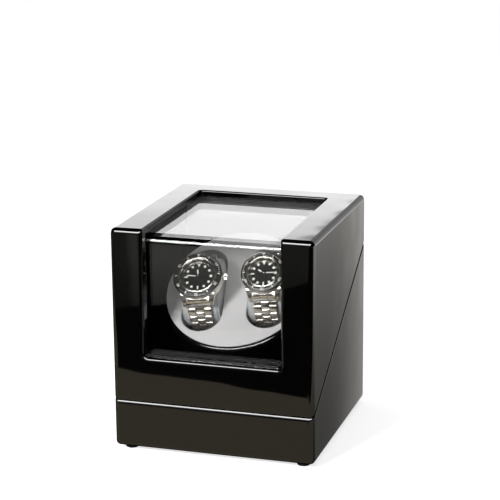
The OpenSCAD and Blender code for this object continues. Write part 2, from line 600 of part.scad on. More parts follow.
module clasp(s) color(steel) loop_frame(s) intersection() {
  along_x(17.4) difference() {
    rotate([0, 0, 90]) slot(2*core_r + 7.6, core_s + 2*core_r + 7.6);
    rotate([0, 0, 90]) slot(2*core_r + 0.6, core_s + 2*core_r + 0.6);
  }
  translate([-20, -15.4, -40]) cube([40, 30.8, 30]);
}

base_shell();
base_floor();
floor_screws();
rubber_feet();
deck_panel();
deck_battens();
chassis_brackets();
chassis_plate();
chassis_screws();
shaft_bush();
gear_motor();
motor_screws();
circuit_board();
control_plate();
dc_jack();
hinge_base_leaves();
hinge_pins();
hinge_base_screws();
lid_bumpers();
lid_frame();
window();
back_liner();
hinge_lid_leaves();
hinge_lid_screws();
turntable_plate();
cup_wells();
velvet_pad();
cup_liners();
drive_shaft();
drive_gear();
circlip();
motor_pinion();
mode_knob();
power_rocker();
cushion(-1);  // cushion_left
watch_case(-1);  // case_left
watch_bezel(-1);  // bezel_left
bezel_insert(-1);  // insert_left
watch_dial(-1);  // dial_left
watch_crystal(-1);  // crystal_left
hour_hand(-1, 353);  // hour_hand_left
minute_hand(-1, 277);  // minute_hand_left
second_hand(-1, 150);  // second_hand_left
watch_crown(-1);  // crown_left
bracelet(-1);  // bracelet_left
clasp(-1);  // clasp_left
cushion(1);  // cushion_right
watch_case(1);  // case_right
watch_bezel(1);  // bezel_right
bezel_insert(1);  // insert_right
watch_dial(1);  // dial_right
watch_crystal(1);  // crystal_right
hour_hand(1, 307);  // hour_hand_right
minute_hand(1, 90);  // minute_hand_right
second_hand(1, 205);  // second_hand_right
watch_crown(1);  // crown_right
bracelet(1);  // bracelet_right
clasp(1);  // clasp_right
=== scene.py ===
# %% [markdown]
# # A double watch winder box
# The box is a lacquered case with a sloping lid joint, a bent clear window, and a
# tilted turntable that carries two watches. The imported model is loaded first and
# never moved. Every new surface below is worked out with numpy in millimetres and
# put in the same place, so it rides on the same moving body as the part it dresses.

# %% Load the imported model
import math

import bpy
import bmesh
import numpy as np
from mathutils import Matrix, Vector


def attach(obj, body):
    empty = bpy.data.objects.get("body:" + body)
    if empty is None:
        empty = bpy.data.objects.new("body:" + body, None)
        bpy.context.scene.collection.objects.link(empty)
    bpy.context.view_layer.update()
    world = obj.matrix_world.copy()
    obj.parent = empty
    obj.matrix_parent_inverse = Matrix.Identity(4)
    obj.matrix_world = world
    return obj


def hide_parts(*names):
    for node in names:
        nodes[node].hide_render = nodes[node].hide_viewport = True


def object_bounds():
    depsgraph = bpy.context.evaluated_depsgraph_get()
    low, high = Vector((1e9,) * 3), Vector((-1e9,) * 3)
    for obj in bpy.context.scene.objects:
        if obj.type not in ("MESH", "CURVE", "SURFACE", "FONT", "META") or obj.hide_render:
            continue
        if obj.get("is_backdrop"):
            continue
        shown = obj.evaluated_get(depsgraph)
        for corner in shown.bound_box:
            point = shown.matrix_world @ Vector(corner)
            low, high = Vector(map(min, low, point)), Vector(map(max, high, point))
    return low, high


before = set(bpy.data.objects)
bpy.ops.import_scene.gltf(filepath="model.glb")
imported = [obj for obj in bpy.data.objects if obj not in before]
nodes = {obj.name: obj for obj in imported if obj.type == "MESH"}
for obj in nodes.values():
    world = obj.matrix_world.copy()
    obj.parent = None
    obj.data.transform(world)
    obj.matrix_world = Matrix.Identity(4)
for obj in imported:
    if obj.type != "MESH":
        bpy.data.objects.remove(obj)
cad_low, cad_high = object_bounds()
MM = 0.001
print("loaded", len(nodes), "nodes")

# %% [markdown]
# ## Camera
# The camera stands in front, to the right and a little above. It could be placed by
# eye, but the corners of a 180 x 180 x 200 mm case were solved for its place, its lens
# and its small shift, so that every edge falls where it should.

# %% Camera
yaw, pitch, roll = np.radians([16.50, 14.26, -0.26])
forward = np.array([-np.sin(yaw)*np.cos(pitch), np.cos(yaw)*np.cos(pitch), -np.sin(pitch)])
level = np.array([np.cos(yaw), np.sin(yaw), 0.0])
upward = np.cross(level, forward)
right = level*np.cos(roll) + upward*np.sin(roll)
upward = -level*np.sin(roll) + upward*np.cos(roll)
lens = bpy.data.cameras.new("camera")
lens.sensor_width, lens.lens = 36.0, 125.4
lens.shift_x, lens.shift_y = -0.0498, -0.0512
lens.clip_start, lens.clip_end = 0.05, 50.0
camera = bpy.data.objects.new("camera", lens)
stand = (0.4506, -1.4196, 0.5654)
turn = Matrix([[right[i], upward[i], -forward[i]] for i in range(3)])
camera.matrix_world = Matrix.Translation(stand) @ turn.to_4x4()
bpy.context.scene.collection.objects.link(camera)
bpy.context.scene.camera = camera
print("camera", lens.lens, "mm at", stand)

# %% [markdown]
# ## Sizes
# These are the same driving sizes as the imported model's. Everything below is worked
# out from them, so a new surface lies on the solid that it dresses. The joint between
# lid and base is a plane that rises from front to back.

# %% Sizes of the box, in millimetres
CASE_W, CASE_D, CASE_H = 180.0, 180.0, 200.0               # the case, feet included
HALF, FOOT, IN = CASE_W/2, 4.0, 79.0                       # outside, feet, inside of the walls
POST, RAIL_Z, REAR_Y = 61.0, 87.0, 64.5                    # sides, sill and back edge of the window
SPLIT_FRONT, SPLIT_BACK, GAP = 46.0, 157.0, 0.8            # heights of the joint, and its gap
PANE_Z, PANE_T, BEND = 193.5, 3.0, 8.5                     # top face, thickness and bend of the sheet
SLOPE = math.atan((SPLIT_BACK - SPLIT_FRONT)/CASE_D)       # slope of the joint
DISC = np.array([0.0, -17.0, 133.5])                       # middle of the velvet face
TILT, PARK, LEAN = np.radians([36.0, 9.0, 11.0])           # disc's tilt, its parked turn, watches' lean
CUP_X, CUP_W, CUP_L = 29.0, 36.5, 91.0                     # place, width and length of a well
PAD_R, RIM_R = 63.5, 66.9                                  # velvet face and moulded rim
CORE_R, CORE_S, CUSH_N, CUSH_W = 22.0, 17.0, -4.0, 33.6    # pillow: ends, straight, height, width
DECK_DOWN, DECK_T, DECK_HOLE = 4.0, 3.0, 63.0              # deck: depth, thickness, opening
BEZEL_R = {"left": 22.0, "right": 20.0}
SIDE = {"left": -1.0, "right": 1.0}


def joint_z(y, off=0.0):
    """Height of the lid joint at depth y, moved off mm square to its slope."""
    return SPLIT_FRONT + (y + CASE_D/2)*math.tan(SLOPE) + off/math.cos(SLOPE)


print("joint slope", round(math.degrees(SLOPE), 2), "degrees")

# %% [markdown]
# ## Frames within frames
# The turntable is tilted, the pillows lean in it, and the watches sit on the pillows.
# Each could be modelled flat and its object turned, but the finished meshes have to
# lie in the case's own frame. So each frame is a function that moves whole arrays of
# points, and one calls the next.

# %% Turned frames
def turn_x(p, a):
    """Points p turned by a about x: y and z mix by cosine and sine."""
    c, s = np.cos(a), np.sin(a)
    return np.stack([p[..., 0], c*p[..., 1] - s*p[..., 2], s*p[..., 1] + c*p[..., 2]], -1)


def turn_z(p, a):
    """Points p turned by a about z: x and y mix by cosine and sine."""
    c, s = np.cos(a), np.sin(a)
    return np.stack([c*p[..., 0] - s*p[..., 1], s*p[..., 0] + c*p[..., 1], p[..., 2]], -1)


def on_disc(p):
    """From the turntable's own frame (z out of the velvet) to the case's frame."""
    return turn_x(turn_z(np.asarray(p, float), PARK), TILT) + DISC


def on_loop(p, side):
    """From the frame of a bracelet loop, centred in its pillow, to the case's frame."""
    p = turn_x(np.asarray(p, float), LEAN)
    return on_disc(p + [SIDE[side]*CUP_X, 0.0, CUSH_N])


def on_head(p, side):
    """From a watch's frame (z = 0 at its back, y to twelve) to the case's frame."""
    return on_loop(np.asarray(p, float) + [0.0, 0.0, CORE_R], side)


print("left dial's middle", np.round(on_head([[0, 0, 8]], "left"), 1))

# %% [markdown]
# ## Helpers for shapes
# A surface is a grid of points: one parameter runs along rows, the other along
# columns. `quads` joins the neighbours of such a grid, and `piece` turns the arrays
# into a mesh that rides on one of the model's bodies.

# %% Meshes from arrays
def quads(rows, cols, wrap_rows=False, wrap_cols=False, start=0):
    """Corner numbers of the faces between neighbouring points of a rows x cols grid."""
    r = np.arange(rows if wrap_rows else rows - 1)[:, None]
    c = np.arange(cols if wrap_cols else cols - 1)[None, :]
    a, b = (r + 1) % rows, (c + 1) % cols
    out = np.stack([r*cols + c, r*cols + b, a*cols + b, a*cols + c], -1)
    return out.reshape(-1, 4) + start


def shell(grids):
    """Joins grids given as (points, wrap_rows, wrap_cols) into one vertex and face list."""
    verts, faces, n = [], [], 0
    for points, wr, wc in grids:
        verts.append(points.reshape(-1, 3))
        faces.append(quads(points.shape[0], points.shape[1], wr, wc, n))
        n += points.shape[0]*points.shape[1]
    return np.concatenate(verts), np.concatenate(faces)


def piece(name, verts, faces, body, look, covers=(), smooth=35.0):
    """A mesh from millimetre points and face corner numbers, riding on a body.
    Doubles are merged, normals are set outwards, and edges sharper than `smooth`
    degrees stay crisp. `covers` names the solids that it dresses."""
    mesh = bpy.data.meshes.new(name)
    mesh.from_pydata((np.asarray(verts)*MM).tolist(), [], [list(map(int, f)) for f in faces])
    bm = bmesh.new()
    bm.from_mesh(mesh)
    bmesh.ops.remove_doubles(bm, verts=bm.verts, dist=2e-6)
    bmesh.ops.dissolve_degenerate(bm, dist=1e-7, edges=bm.edges)
    bmesh.ops.recalc_face_normals(bm, faces=bm.faces)
    bm.to_mesh(mesh)
    bm.free()
    mesh.polygons.foreach_set("use_smooth", np.ones(len(mesh.polygons), bool))
    mesh.set_sharp_from_angle(angle=math.radians(smooth))
    thing = bpy.data.objects.new(name, mesh)
    bpy.context.scene.collection.objects.link(thing)
    mesh.materials.append(look)
    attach(thing, body)
    if covers:
        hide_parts(*([covers] if isinstance(covers, str) else covers))
    return thing


print("a grid of 3 x 4 points has", len(quads(3, 4)), "faces")

# %% [markdown]
# ## Profiles
# Round things are turned from a profile, and bars are lofted through sections. Both
# are what a lathe and a drawing die do to the real parts.

# %% Arcs, turned shapes and bars
def arc(cx, cy, r, a0, a1, n):
    """n points on a circle of radius r about (cx, cy) from angle a0 to a1, in degrees."""
    a = np.radians(np.linspace(a0, a1, n))
    return np.stack([cx + r*np.cos(a), cy + r*np.sin(a)], -1)


def revolve(profile, n=96, wave=None):
    """A profile of (radius, height) points turned about z in n steps.
    wave(angle, profile) may add to the radius, as for a milled edge."""
    a = np.linspace(0, 2*np.pi, n, endpoint=False)[:, None]
    r = np.repeat(profile[None, :, 0], n, 0)
    if wave is not None:
        r = r + wave(a, profile)
    z = np.repeat(profile[None, :, 1], n, 0)
    return np.stack([r*np.cos(a), r*np.sin(a), z], -1)


def bar(section):
    """A closed section of (m, 3) points per station, stations along the first axis,
    with each end closed by a row drawn in to its middle."""
    ends = [section[:1].mean(1, keepdims=True), section[-1:].mean(1, keepdims=True)]
    m = section.shape[1]
    return np.concatenate([np.repeat(ends[0], m, 1), section, np.repeat(ends[1], m, 1)])


print("a turned ring has", revolve(arc(5, 0, 1, 0, 330, 12), 48).shape, "points")

# %% [markdown]
# ## Helpers for finishes
# Colours are written as the sRGB hex values a paint chart gives, and one function
# turns them to the linear values that the shader wants.

# %% Colour and node helpers
def linear(code, alpha=1.0):
    """sRGB hex to linear: c/12.92 below 0.04045, else ((c + 0.055)/1.055)**2.4."""
    c = np.array([int(code[i:i + 2], 16) for i in (1, 3, 5)])/255
    lin = np.where(c <= 0.04045, c/12.92, ((c + 0.055)/1.055)**2.4)
    return (*map(float, lin), alpha)


def add(tree, kind, links=(), **settings):
    """Adds one node. Settings name its inputs or attributes; links are
    (from socket, to input name) pairs."""
    node = tree.nodes.new(kind)
    for key, value in settings.items():
        name = key.replace("_", " ")
        hit = [s for s in node.inputs if s.name.lower() == name.lower() and s.enabled]
        if hit:
            hit[0].default_value = value
        else:
            setattr(node, key, value)
    for source, name in links:
        tree.links.new(source, node.inputs[name])
    return node


def empty_material(name):
    """A new material and its node tree, with nothing in it yet."""
    mat = bpy.data.materials.new(name)
    mat.use_nodes = True
    mat.node_tree.nodes.clear()
    return mat, mat.node_tree


def finish(name, colour, **settings):
    """A Principled finish with constant values on the shader's own sockets.
    Returns the material, its node tree and the shader."""
    mat = bpy.data.materials.new(name)
    mat.use_nodes = True
    tree = mat.node_tree
    shader = tree.nodes["Principled BSDF"]
    shader.inputs["Base Color"].default_value = linear(colour)
    for key, value in settings.items():
        shader.inputs[key.replace("_", " ")].default_value = value
    return mat, tree, shader


def bumpy(tree, shader, height, depth, strength=1.0):
    """Feeds a height socket into a bump of the given depth in metres."""
    bump = add(tree, "ShaderNodeBump", [(height, "Height")], Strength=strength, Distance=depth)
    tree.links.new(bump.outputs["Normal"], shader.inputs["Normal"])


def spots(tree, per_mm, detail=2.0, rough=0.5, stretch=(1, 1, 1)):
    """Noise on the piece's own coordinates, with per_mm blobs in each millimetre."""
    where = add(tree, "ShaderNodeTexCoord")
    if stretch != (1, 1, 1):
        scaled = add(tree, "ShaderNodeMapping", [(where.outputs["Object"], "Vector")], Scale=stretch)
        source = scaled.outputs[0]
    else:
        source = where.outputs["Object"]
    return add(tree, "ShaderNodeTexNoise", [(source, "Vector")],
               Scale=per_mm*1000.0, Detail=detail, Roughness=rough).outputs["Fac"]


print("mid grey in linear light:", round(linear("#808080")[0], 3))

# %% [markdown]
# ## Piano lacquer
# The case is MDF under polyester lacquer, sprayed thick, sanded and buffed. A plain
# glossy black would look like plastic, so a long shallow waviness, one wave in about
# 60 mm, bends its reflections as a hand-rubbed surface does.

# %% Piano lacquer
lacquer, tree, shader = finish("piano_lacquer", "#030303", Roughness=0.035, IOR=1.52)
bumpy(tree, shader, spots(tree, 1/60, 1.0), 0.0009, 0.35)
print("lacquer:", lacquer.name)

# %% [markdown]
# ## Clear acrylic sheet
# The window is cast PMMA, IOR 1.49, polished at its edges. The watch glasses are
# sapphire, whose anti-reflection coat makes them mirror no more than IOR 1.4 would. A
# thin sheet hardly bends what is seen through it, so a refracting glass shader would
# only add noise. Each face passes light straight instead, and mirrors the share that
# Fresnel's law gives, worked out from the air side on both faces.

# %% Clear acrylic sheet
def clear(name, tint, ior, most):
    """A see-through finish with a mirror share of Fresnel(ior). The Fresnel node turns
    its IOR over on a face seen from behind, so it is given 1/ior there. A hard coat
    keeps the share below `most` at flat angles."""
    mat, tree = empty_material(name)
    face = add(tree, "ShaderNodeNewGeometry")
    index = add(tree, "ShaderNodeMapRange", [(face.outputs["Backfacing"], "Value")],
                To_Min=ior, To_Max=1/ior)
    share = add(tree, "ShaderNodeFresnel", [(index.outputs[0], "IOR")])
    least = add(tree, "ShaderNodeMath", [(share.outputs[0], 0)], operation="MINIMUM")
    least.inputs[1].default_value = most
    through = add(tree, "ShaderNodeBsdfTransparent", Color=linear(tint))
    mirror = add(tree, "ShaderNodeBsdfGlossy", Color=(1, 1, 1, 1), Roughness=0.0)
    both = add(tree, "ShaderNodeMixShader", [(least.outputs[0], 0), (through.outputs[0], 1),
                                             (mirror.outputs[0], 2)])
    add(tree, "ShaderNodeOutputMaterial", [(both.outputs[0], "Surface")])
    return mat


acrylic = clear("cast_acrylic", "#FDFDFD", 1.49, 0.23)
sapphire = clear("sapphire_crystal", "#FEFEFE", 1.4, 0.2)
print("clear sheets:", acrylic.name, sapphire.name)

# %% [markdown]
# ## Velvet and flock
# The grey face, wells, back liner and pillows are flocked: short upright nylon fibres
# about 0.35 mm apart, which scatter light and brighten where they are seen edge on.
# Real hairs would be far too many here, so fine noise gives the nap and sheen its rim.

# %% Velvet and flock
def flock(name, colour, shade, sheen, shine=0.2):
    """A napped finish: its colour runs from shade to colour by two sizes of noise, the
    fibres of 0.35 mm and the patches of 9 mm where the nap lies another way."""
    mat, tree, shader = finish(name, colour, Roughness=0.95, Sheen_Weight=sheen,
                               Sheen_Roughness=0.5, Specular_IOR_Level=shine)
    fibres = spots(tree, 1/0.35, 2.0, 0.6)
    patches = spots(tree, 1/9.0, 3.0)
    both = add(tree, "ShaderNodeMix", [(patches, 2), (fibres, 3)], Factor=0.45)
    tint = add(tree, "ShaderNodeMix", [(both.outputs[0], 0)], data_type="RGBA")
    tint.inputs[6].default_value, tint.inputs[7].default_value = linear(shade), linear(colour)
    tree.links.new(tint.outputs[2], shader.inputs["Base Color"])
    bumpy(tree, shader, fibres, 0.00012, 0.5)
    return mat


grey_velvet = flock("grey_flocked_velvet", "#D9D8D8", "#CECDCD", 0.35)
pillow_velvet = flock("grey_pillow_velvet", "#C4C6C5", "#AEB0B0", 0.4)
black_flock = flock("black_flocked_board", "#08080A", "#040404", 0.0, 0.0)
print("flocks:", grey_velvet.name, pillow_velvet.name, black_flock.name)

# %% [markdown]
# ## Moulded plastics and rubber
# The turntable is injection-moulded ABS from a polished tool, so it is nearly mirror
# black. The chassis is glass-filled nylon, matt with a spark-eroded grain of 0.5 mm,
# the gear is waxy acetal, and the feet are dull rubber. One noise each is enough: its
# grain size is what tells the eye which tool the part came out of.

# %% Moulded plastics and rubber
gloss_abs, tree, shader = finish("gloss_black_abs", "#08080A", Roughness=0.09, IOR=1.53)
bumpy(tree, shader, spots(tree, 1/14, 2.0), 0.0002, 0.3)
matt_nylon, tree, shader = finish("glass_filled_nylon", "#1B1C1F", Roughness=0.55, IOR=1.53)
bumpy(tree, shader, spots(tree, 1/0.5, 3.0), 0.00006, 0.5)
acetal, tree, shader = finish("acetal", "#E4E2DA", Roughness=0.4, IOR=1.48)
bumpy(tree, shader, spots(tree, 1/3, 2.0), 0.00003, 0.4)
rubber, tree, shader = finish("moulded_rubber", "#17171A", Roughness=0.75, IOR=1.52)
bumpy(tree, shader, spots(tree, 1/0.8, 3.0), 0.00008, 0.5)
bumper_clear, tree, shader = finish("clear_bumper", "#D8DCDE", Roughness=0.25, IOR=1.5)
bumpy(tree, shader, spots(tree, 1/2, 1.0), 0.00003, 0.3)
solder_mask, tree, shader = finish("green_solder_mask", "#1C5A35", Roughness=0.35, IOR=1.55)
bumpy(tree, shader, spots(tree, 1/1.2, 4.0), 0.00004, 0.6)
print("moulded finishes so far:", len(bpy.data.materials))

# %% [markdown]
# ## Wood
# Under the deck the floor is painted MDF and the battens are planed pine. Pine shows
# its rings as lines every 2 mm or so, which noise gives when it is stretched along y.

# %% Wood
painted_mdf, tree, shader = finish("painted_mdf", "#131210", Roughness=0.6, IOR=1.5)
bumpy(tree, shader, spots(tree, 1/0.7, 4.0), 0.00008, 0.5)
pine, tree, shader = finish("planed_pine", "#C49A63", Roughness=0.55, IOR=1.5)
rings = spots(tree, 1/2.0, 4.0, 0.6, (1, 0.08, 1))
tint = add(tree, "ShaderNodeMix", [(rings, 0)], data_type="RGBA")
tint.inputs[6].default_value, tint.inputs[7].default_value = linear("#A87B45"), linear("#D6B27C")
tree.links.new(tint.outputs[2], shader.inputs["Base Color"])
bumpy(tree, shader, rings, 0.0001, 0.4)
print("woods:", painted_mdf.name, pine.name)

# %% [markdown]
# ## Metals
# The watches are 316L stainless steel. Brushing leaves lines along the bracelet, which
# are noise stretched along y, and tumbling leaves short marks. The lines are 0.35 mm
# apart, coarser than the real 0.1 mm, so that they still show at this distance.

# %% Metals
def metal(name, colour, rough, per_mm, stretch=(1, 1, 1), depth=0.00002, strength=0.5):
    """A metal with brushing or tumbling marks: fine stretched noise in the bump and
    a little in the roughness."""
    mat, tree, shader = finish(name, colour, Metallic=1.0, Roughness=rough)
    marks = spots(tree, per_mm, 3.0, 0.6, stretch)
    span = add(tree, "ShaderNodeMapRange", [(marks, "Value")], To_Min=rough*0.75, To_Max=rough*1.3)
    tree.links.new(span.outputs[0], shader.inputs["Roughness"])
    bumpy(tree, shader, marks, depth, strength)
    return mat


brushed_steel = metal("brushed_316_steel", "#E0DCD5", 0.2, 1/0.35, (1, 0.06, 1), 0.000006, 0.3)
polished_steel = metal("polished_316_steel", "#E6E3DE", 0.08, 1/2.5)
# The pins' steel is darker than the links': painted shade in the gaps between the links.
gap_shade_steel = metal("steel_painted_gap_shade", "#6E6A62", 0.35, 1/0.6)
zinc_steel = metal("zinc_plated_steel", "#B9BBBD", 0.3, 1/0.8)
brass = metal("brushed_brass", "#C9A961", 0.28, 1/0.6, (0.1, 1, 1))
motor_steel = metal("nickel_plated_can", "#A9ABAE", 0.22, 1/1.5)
print("metals:", brushed_steel.name, polished_steel.name, brass.name)

# %% [markdown]
# ## Watch colours
# The bezel's ring is anodised aluminium, the dial is glossy lacquer, and the markers
# are luminous paint, which is a chalky off-white by day and so needs no glow.

# %% Watch colours
anodised, tree, shader = finish("black_anodised_ring", "#0E0F11", Roughness=0.22, IOR=1.6)
bumpy(tree, shader, spots(tree, 1/0.5, 2.0), 0.00001, 0.4)
dial_lacquer, tree, shader = finish("gloss_dial_lacquer", "#0B0C0E", Roughness=0.12, IOR=1.5)
bumpy(tree, shader, spots(tree, 1/0.4, 2.0), 0.000006, 0.3)
lume, tree, shader = finish("luminous_paint", "#F1F3EA", Roughness=0.6, IOR=1.5)
bumpy(tree, shader, spots(tree, 1/0.2, 3.0), 0.00002, 0.5)
print("finishes:", len(bpy.data.materials))

# %% [markdown]
# ## Lacquered case
# The real halves are boxes of MDF, sawn apart along the sloping joint. They could be
# cut from one block with booleans, but that leaves ragged faces for the bevels. So
# the case is cut into a coarse grid by the planes of its walls, each block is filled
# or empty, and every face between a filled and an empty block is a face of the shell.

# %% Shell from filled blocks
def blocks(xs, ys, levels, filled):
    """Faces between filled and empty blocks. levels[k] gives a height for each y, so
    the blocks can follow the sloping joint."""
    nx, ny, nz = len(xs), len(ys), len(levels)
    gx, gy = np.meshgrid(xs, ys, indexing="ij")
    height = np.array([[level(y) for y in ys] for level in levels])
    points = np.stack([np.repeat(gx[..., None], nz, 2), np.repeat(gy[..., None], nz, 2),
                       np.repeat(height.T[None], nx, 0)], -1)
    number = np.arange(nx*ny*nz).reshape(nx, ny, nz)
    solid = np.zeros((nx + 1, ny + 1, nz + 1), bool)
    solid[1:-1, 1:-1, 1:-1] = filled
    faces = []
    for axis in range(3):
        low, high = np.moveaxis(solid, axis, 0)[:-1], np.moveaxis(solid, axis, 0)[1:]
        layer = np.moveaxis(number, axis, 0)
        i, j, k = np.argwhere(low != high).T
        faces.append(np.stack([layer[i, j - 1, k - 1], layer[i, j, k - 1],
                               layer[i, j, k], layer[i, j - 1, k]], -1))
    return points.reshape(-1, 3), np.concatenate(faces)


def lid_blocks():
    """The lid as 5 x 4 x 3 blocks. Its levels are the joint, the sill, the top of the
    clear sheet and the top of the case."""
    xs, ys = [-HALF, -IN, -POST, POST, IN, HALF], [-HALF, -IN, REAR_Y, IN, HALF]
    full = np.zeros((5, 4, 3), bool)
    full[[0, 4]] = True                      # side walls
    full[:, 3] = True                        # back wall
    full[[1, 3], 0] = True                   # front posts
    full[2, 0, 0] = True                     # rail under the window
    full[[1, 3], :, 2] = True                # top, left and right
    full[:, 2, 2] = True                     # top, at the back
    low = lambda y: joint_z(y, GAP/2)
    levels = [low, lambda y: max(RAIL_Z, low(y) + 12), lambda y: PANE_Z, lambda y: CASE_H]
    return blocks(xs, ys, levels, full)


def base_blocks():
    """The base as 3 x 3 blocks round an open middle, up to the sloping joint."""
    xs, ys = [-HALF, -IN, IN, HALF], [-HALF, -IN, IN, HALF]
    full = np.ones((3, 3, 1), bool)
    full[1, 1] = False
    levels = [lambda y: FOOT, lambda y: joint_z(y, -GAP/2)]
    return blocks(xs, ys, levels, full)


print("blocks:", len(lid_blocks()[1]), "faces on the lid,", len(base_blocks()[1]), "on the base")

# %% [markdown]
# ## Cutting tools
# Hinge leaves and the control plate are let into the lacquer. Their seats are cut with
# plain boxes, each a little larger than the part that it takes.

# %% Cutters
def box_mesh(name, low, high, turn=None):
    """A plain box between two corners, as a tool for cutting."""
    c = np.array([[x, y, z] for x in (0, 1) for y in (0, 1) for z in (0, 1)], float)
    p = np.array(low)*(1 - c) + np.array(high)*c
    if turn is not None:
        p = turn(p)
    faces = [(0, 1, 3, 2), (4, 6, 7, 5), (0, 4, 5, 1), (2, 3, 7, 6), (0, 2, 6, 4), (1, 5, 7, 3)]
    mesh = bpy.data.meshes.new(name)
    mesh.from_pydata((p*MM).tolist(), [], faces)
    mesh.validate()
    thing = bpy.data.objects.new(name, mesh)
    bpy.context.scene.collection.objects.link(thing)
    bm = bmesh.new()
    bm.from_mesh(mesh)
    bmesh.ops.recalc_face_normals(bm, faces=bm.faces)
    bm.to_mesh(mesh)
    bm.free()
    return thing


def on_joint(p):
    """From the joint plane's frame (origin on its back edge) to the case's frame."""
    return turn_x(np.asarray(p, float), SLOPE) + [0, CASE_D/2, SPLIT_BACK]


HINGE_X, LEAF_HALF, LEAF_DEEP, LEAF_ROOM = 52.0, 15.2, 9.2, 1.25


def hinge_rooms(tag):
    """Boxes for both hinges' leaves, cut into the joint faces at the back."""
    return [box_mesh(f"room_{tag}_{s}", [s*HINGE_X - LEAF_HALF, -LEAF_DEEP, -LEAF_ROOM],
                     [s*HINGE_X + LEAF_HALF, 4, LEAF_ROOM], on_joint) for s in (-1, 1)]


SEAT_X, SEAT_Y, SEAT_Z = 38.1, 87.8, (53.9, 88.1)          # the control plate and 0.1 mm round it
HOLE_X, HOLE_Y, HOLE_Z = 34.0, 76.0, (58.0, 84.0)          # the way through the wall behind it
PAST = 94.0                                                # beyond the back face
plate_seat = box_mesh("plate_seat", [-SEAT_X, SEAT_Y, SEAT_Z[0]], [SEAT_X, PAST, SEAT_Z[1]])
plate_hole = box_mesh("plate_hole", [-HOLE_X, HOLE_Y, HOLE_Z[0]], [HOLE_X, PAST, HOLE_Z[1]])
print("plate seat", plate_seat.name, "and hole", plate_hole.name)

# %% [markdown]
# ## Sanding radius of each edge
# A joiner sands each edge to its own radius before spraying: large outside, small round
# the window and along the joint. One bevel width for all would look cast, so each edge
# gets a weight, and a weighted bevel rounds them all together. Hollow corners are
# rounded first, as a router leaves them.

# %% Rounding a shell
def sanded(name, verts, faces, radius_of, cutters, body, covers, routed=()):
    """A lacquered shell. Each routed item, (test, radius), first rounds the hollow
    corners that its test picks. radius_of(middle, direction) then gives the sanding
    radius of every outward edge in mm. The cutters are taken away and the result is
    kept as a plain mesh, with normals weighted by face area to keep flat faces flat."""
    widest, steps = 6.0, 6
    shell_piece = piece(name, verts, faces, body, lacquer, covers)
    mesh = shell_piece.data
    bm = bmesh.new()
    bm.from_mesh(mesh)
    bmesh.ops.dissolve_limit(bm, angle_limit=0.01, verts=bm.verts, edges=bm.edges)
    place = lambda e: (np.array((e.verts[0].co + e.verts[1].co)/2)/MM,
                       np.array((e.verts[1].co - e.verts[0].co).normalized()))
    for test, radius in routed:
        corner = [e for e in bm.edges if len(e.link_faces) == 2
                  and e.calc_face_angle_signed() < -0.2 and test(*place(e))]
        bmesh.ops.bevel(bm, geom=corner, offset=radius*MM, offset_type="OFFSET", segments=steps,
                        profile=0.5, affect="EDGES", clamp_overlap=False)
        print(name, "routed corners:", len(corner))
    weights = bm.edges.layers.float.new("bevel_weight_edge")
    for e in bm.edges:
        if len(e.link_faces) == 2 and e.calc_face_angle_signed() > 0.2:
            e[weights] = radius_of(*place(e))/widest
    bm.to_mesh(mesh)
    bm.free()
    bevel = shell_piece.modifiers.new("sanded", "BEVEL")
    bevel.limit_method, bevel.width, bevel.segments = "WEIGHT", widest*MM, steps
    bevel.use_clamp_overlap, bevel.profile = False, 0.5
    for cutter in cutters:
        cut = shell_piece.modifiers.new("cut", "BOOLEAN")
        cut.operation, cut.object, cut.solver = "DIFFERENCE", cutter, "EXACT"
    even = shell_piece.modifiers.new("even", "WEIGHTED_NORMAL")
    even.keep_sharp, even.weight, even.mode = True, 100, "FACE_AREA"
    bpy.context.view_layer.update()
    deps = bpy.context.evaluated_depsgraph_get()
    baked = bpy.data.meshes.new_from_object(shell_piece.evaluated_get(deps))
    baked.name = name
    shell_piece.modifiers.clear()
    shell_piece.data = baked
    for cutter in cutters:
        bpy.data.objects.remove(cutter)
    print(name, len(baked.polygons), "faces")
    return shell_piece


# %% Which edge gets which radius
def near(a, b, tol=1.0):
    """Whether two lengths agree within tol."""
    return abs(a - b) < tol


def lid_radius(mid, along):
    """Radii on the lid: 1.8 on the joint, 5 outside, 3.2 and 1.6 round the window."""
    x, y, z = mid
    if abs(z - joint_z(y, GAP/2)) < 1.0:
        return 1.8 if max(abs(x), abs(y)) > 85 else 0.4
    if near(y, -HALF) and abs(x) < POST + 1 and RAIL_Z - 1 < z < 196:
        return 3.2
    if abs(x) > 85 or abs(y) > 85:
        return 5.0 if abs(along[2]) > 0.9 else 4.6
    return 1.6 if z > 195 else 1.0


def base_radius(mid, along):
    """Radii on the base: 2.4 on the joint, 5 and 4 outside."""
    x, y, z = mid
    outside = max(abs(x), abs(y)) > 85
    if abs(z - joint_z(y, -GAP/2)) < 1.0:
        return 2.4 if outside else 0.5
    if not outside:
        return 0.4
    return 5.0 if abs(along[2]) > 0.9 else 4.0


def at_rail(mid, along):
    """The corners between the posts and the rail under the window."""
    return near(abs(mid[0]), POST) and near(mid[2], RAIL_Z) and abs(along[1]) > 0.9


def at_back(mid, along):
    """The two back corners of the top opening."""
    return near(abs(mid[0]), POST) and near(mid[1], REAR_Y) and abs(along[2]) > 0.9


lacquered_base = sanded("lacquered_base", *base_blocks(), base_radius,
                        [plate_seat, plate_hole, *hinge_rooms("base")], "base", "base_shell")
lacquered_lid = sanded("lacquered_lid", *lid_blocks(), lid_radius,
                       hinge_rooms("lid"), "lid", "lid_frame", [(at_rail, 3.6), (at_back, 3.5)])
print("case:", lacquered_base.name, "and", lacquered_lid.name)

# %% [markdown]
# ## Window
# One acrylic sheet, heated along a line and bent once. Its profile runs up the front,
# round an 8.5 mm bend and back along the top, and is swept straight along x. A flat
# strip with a bend modifier would stretch the bend, while two true arcs keep it even.

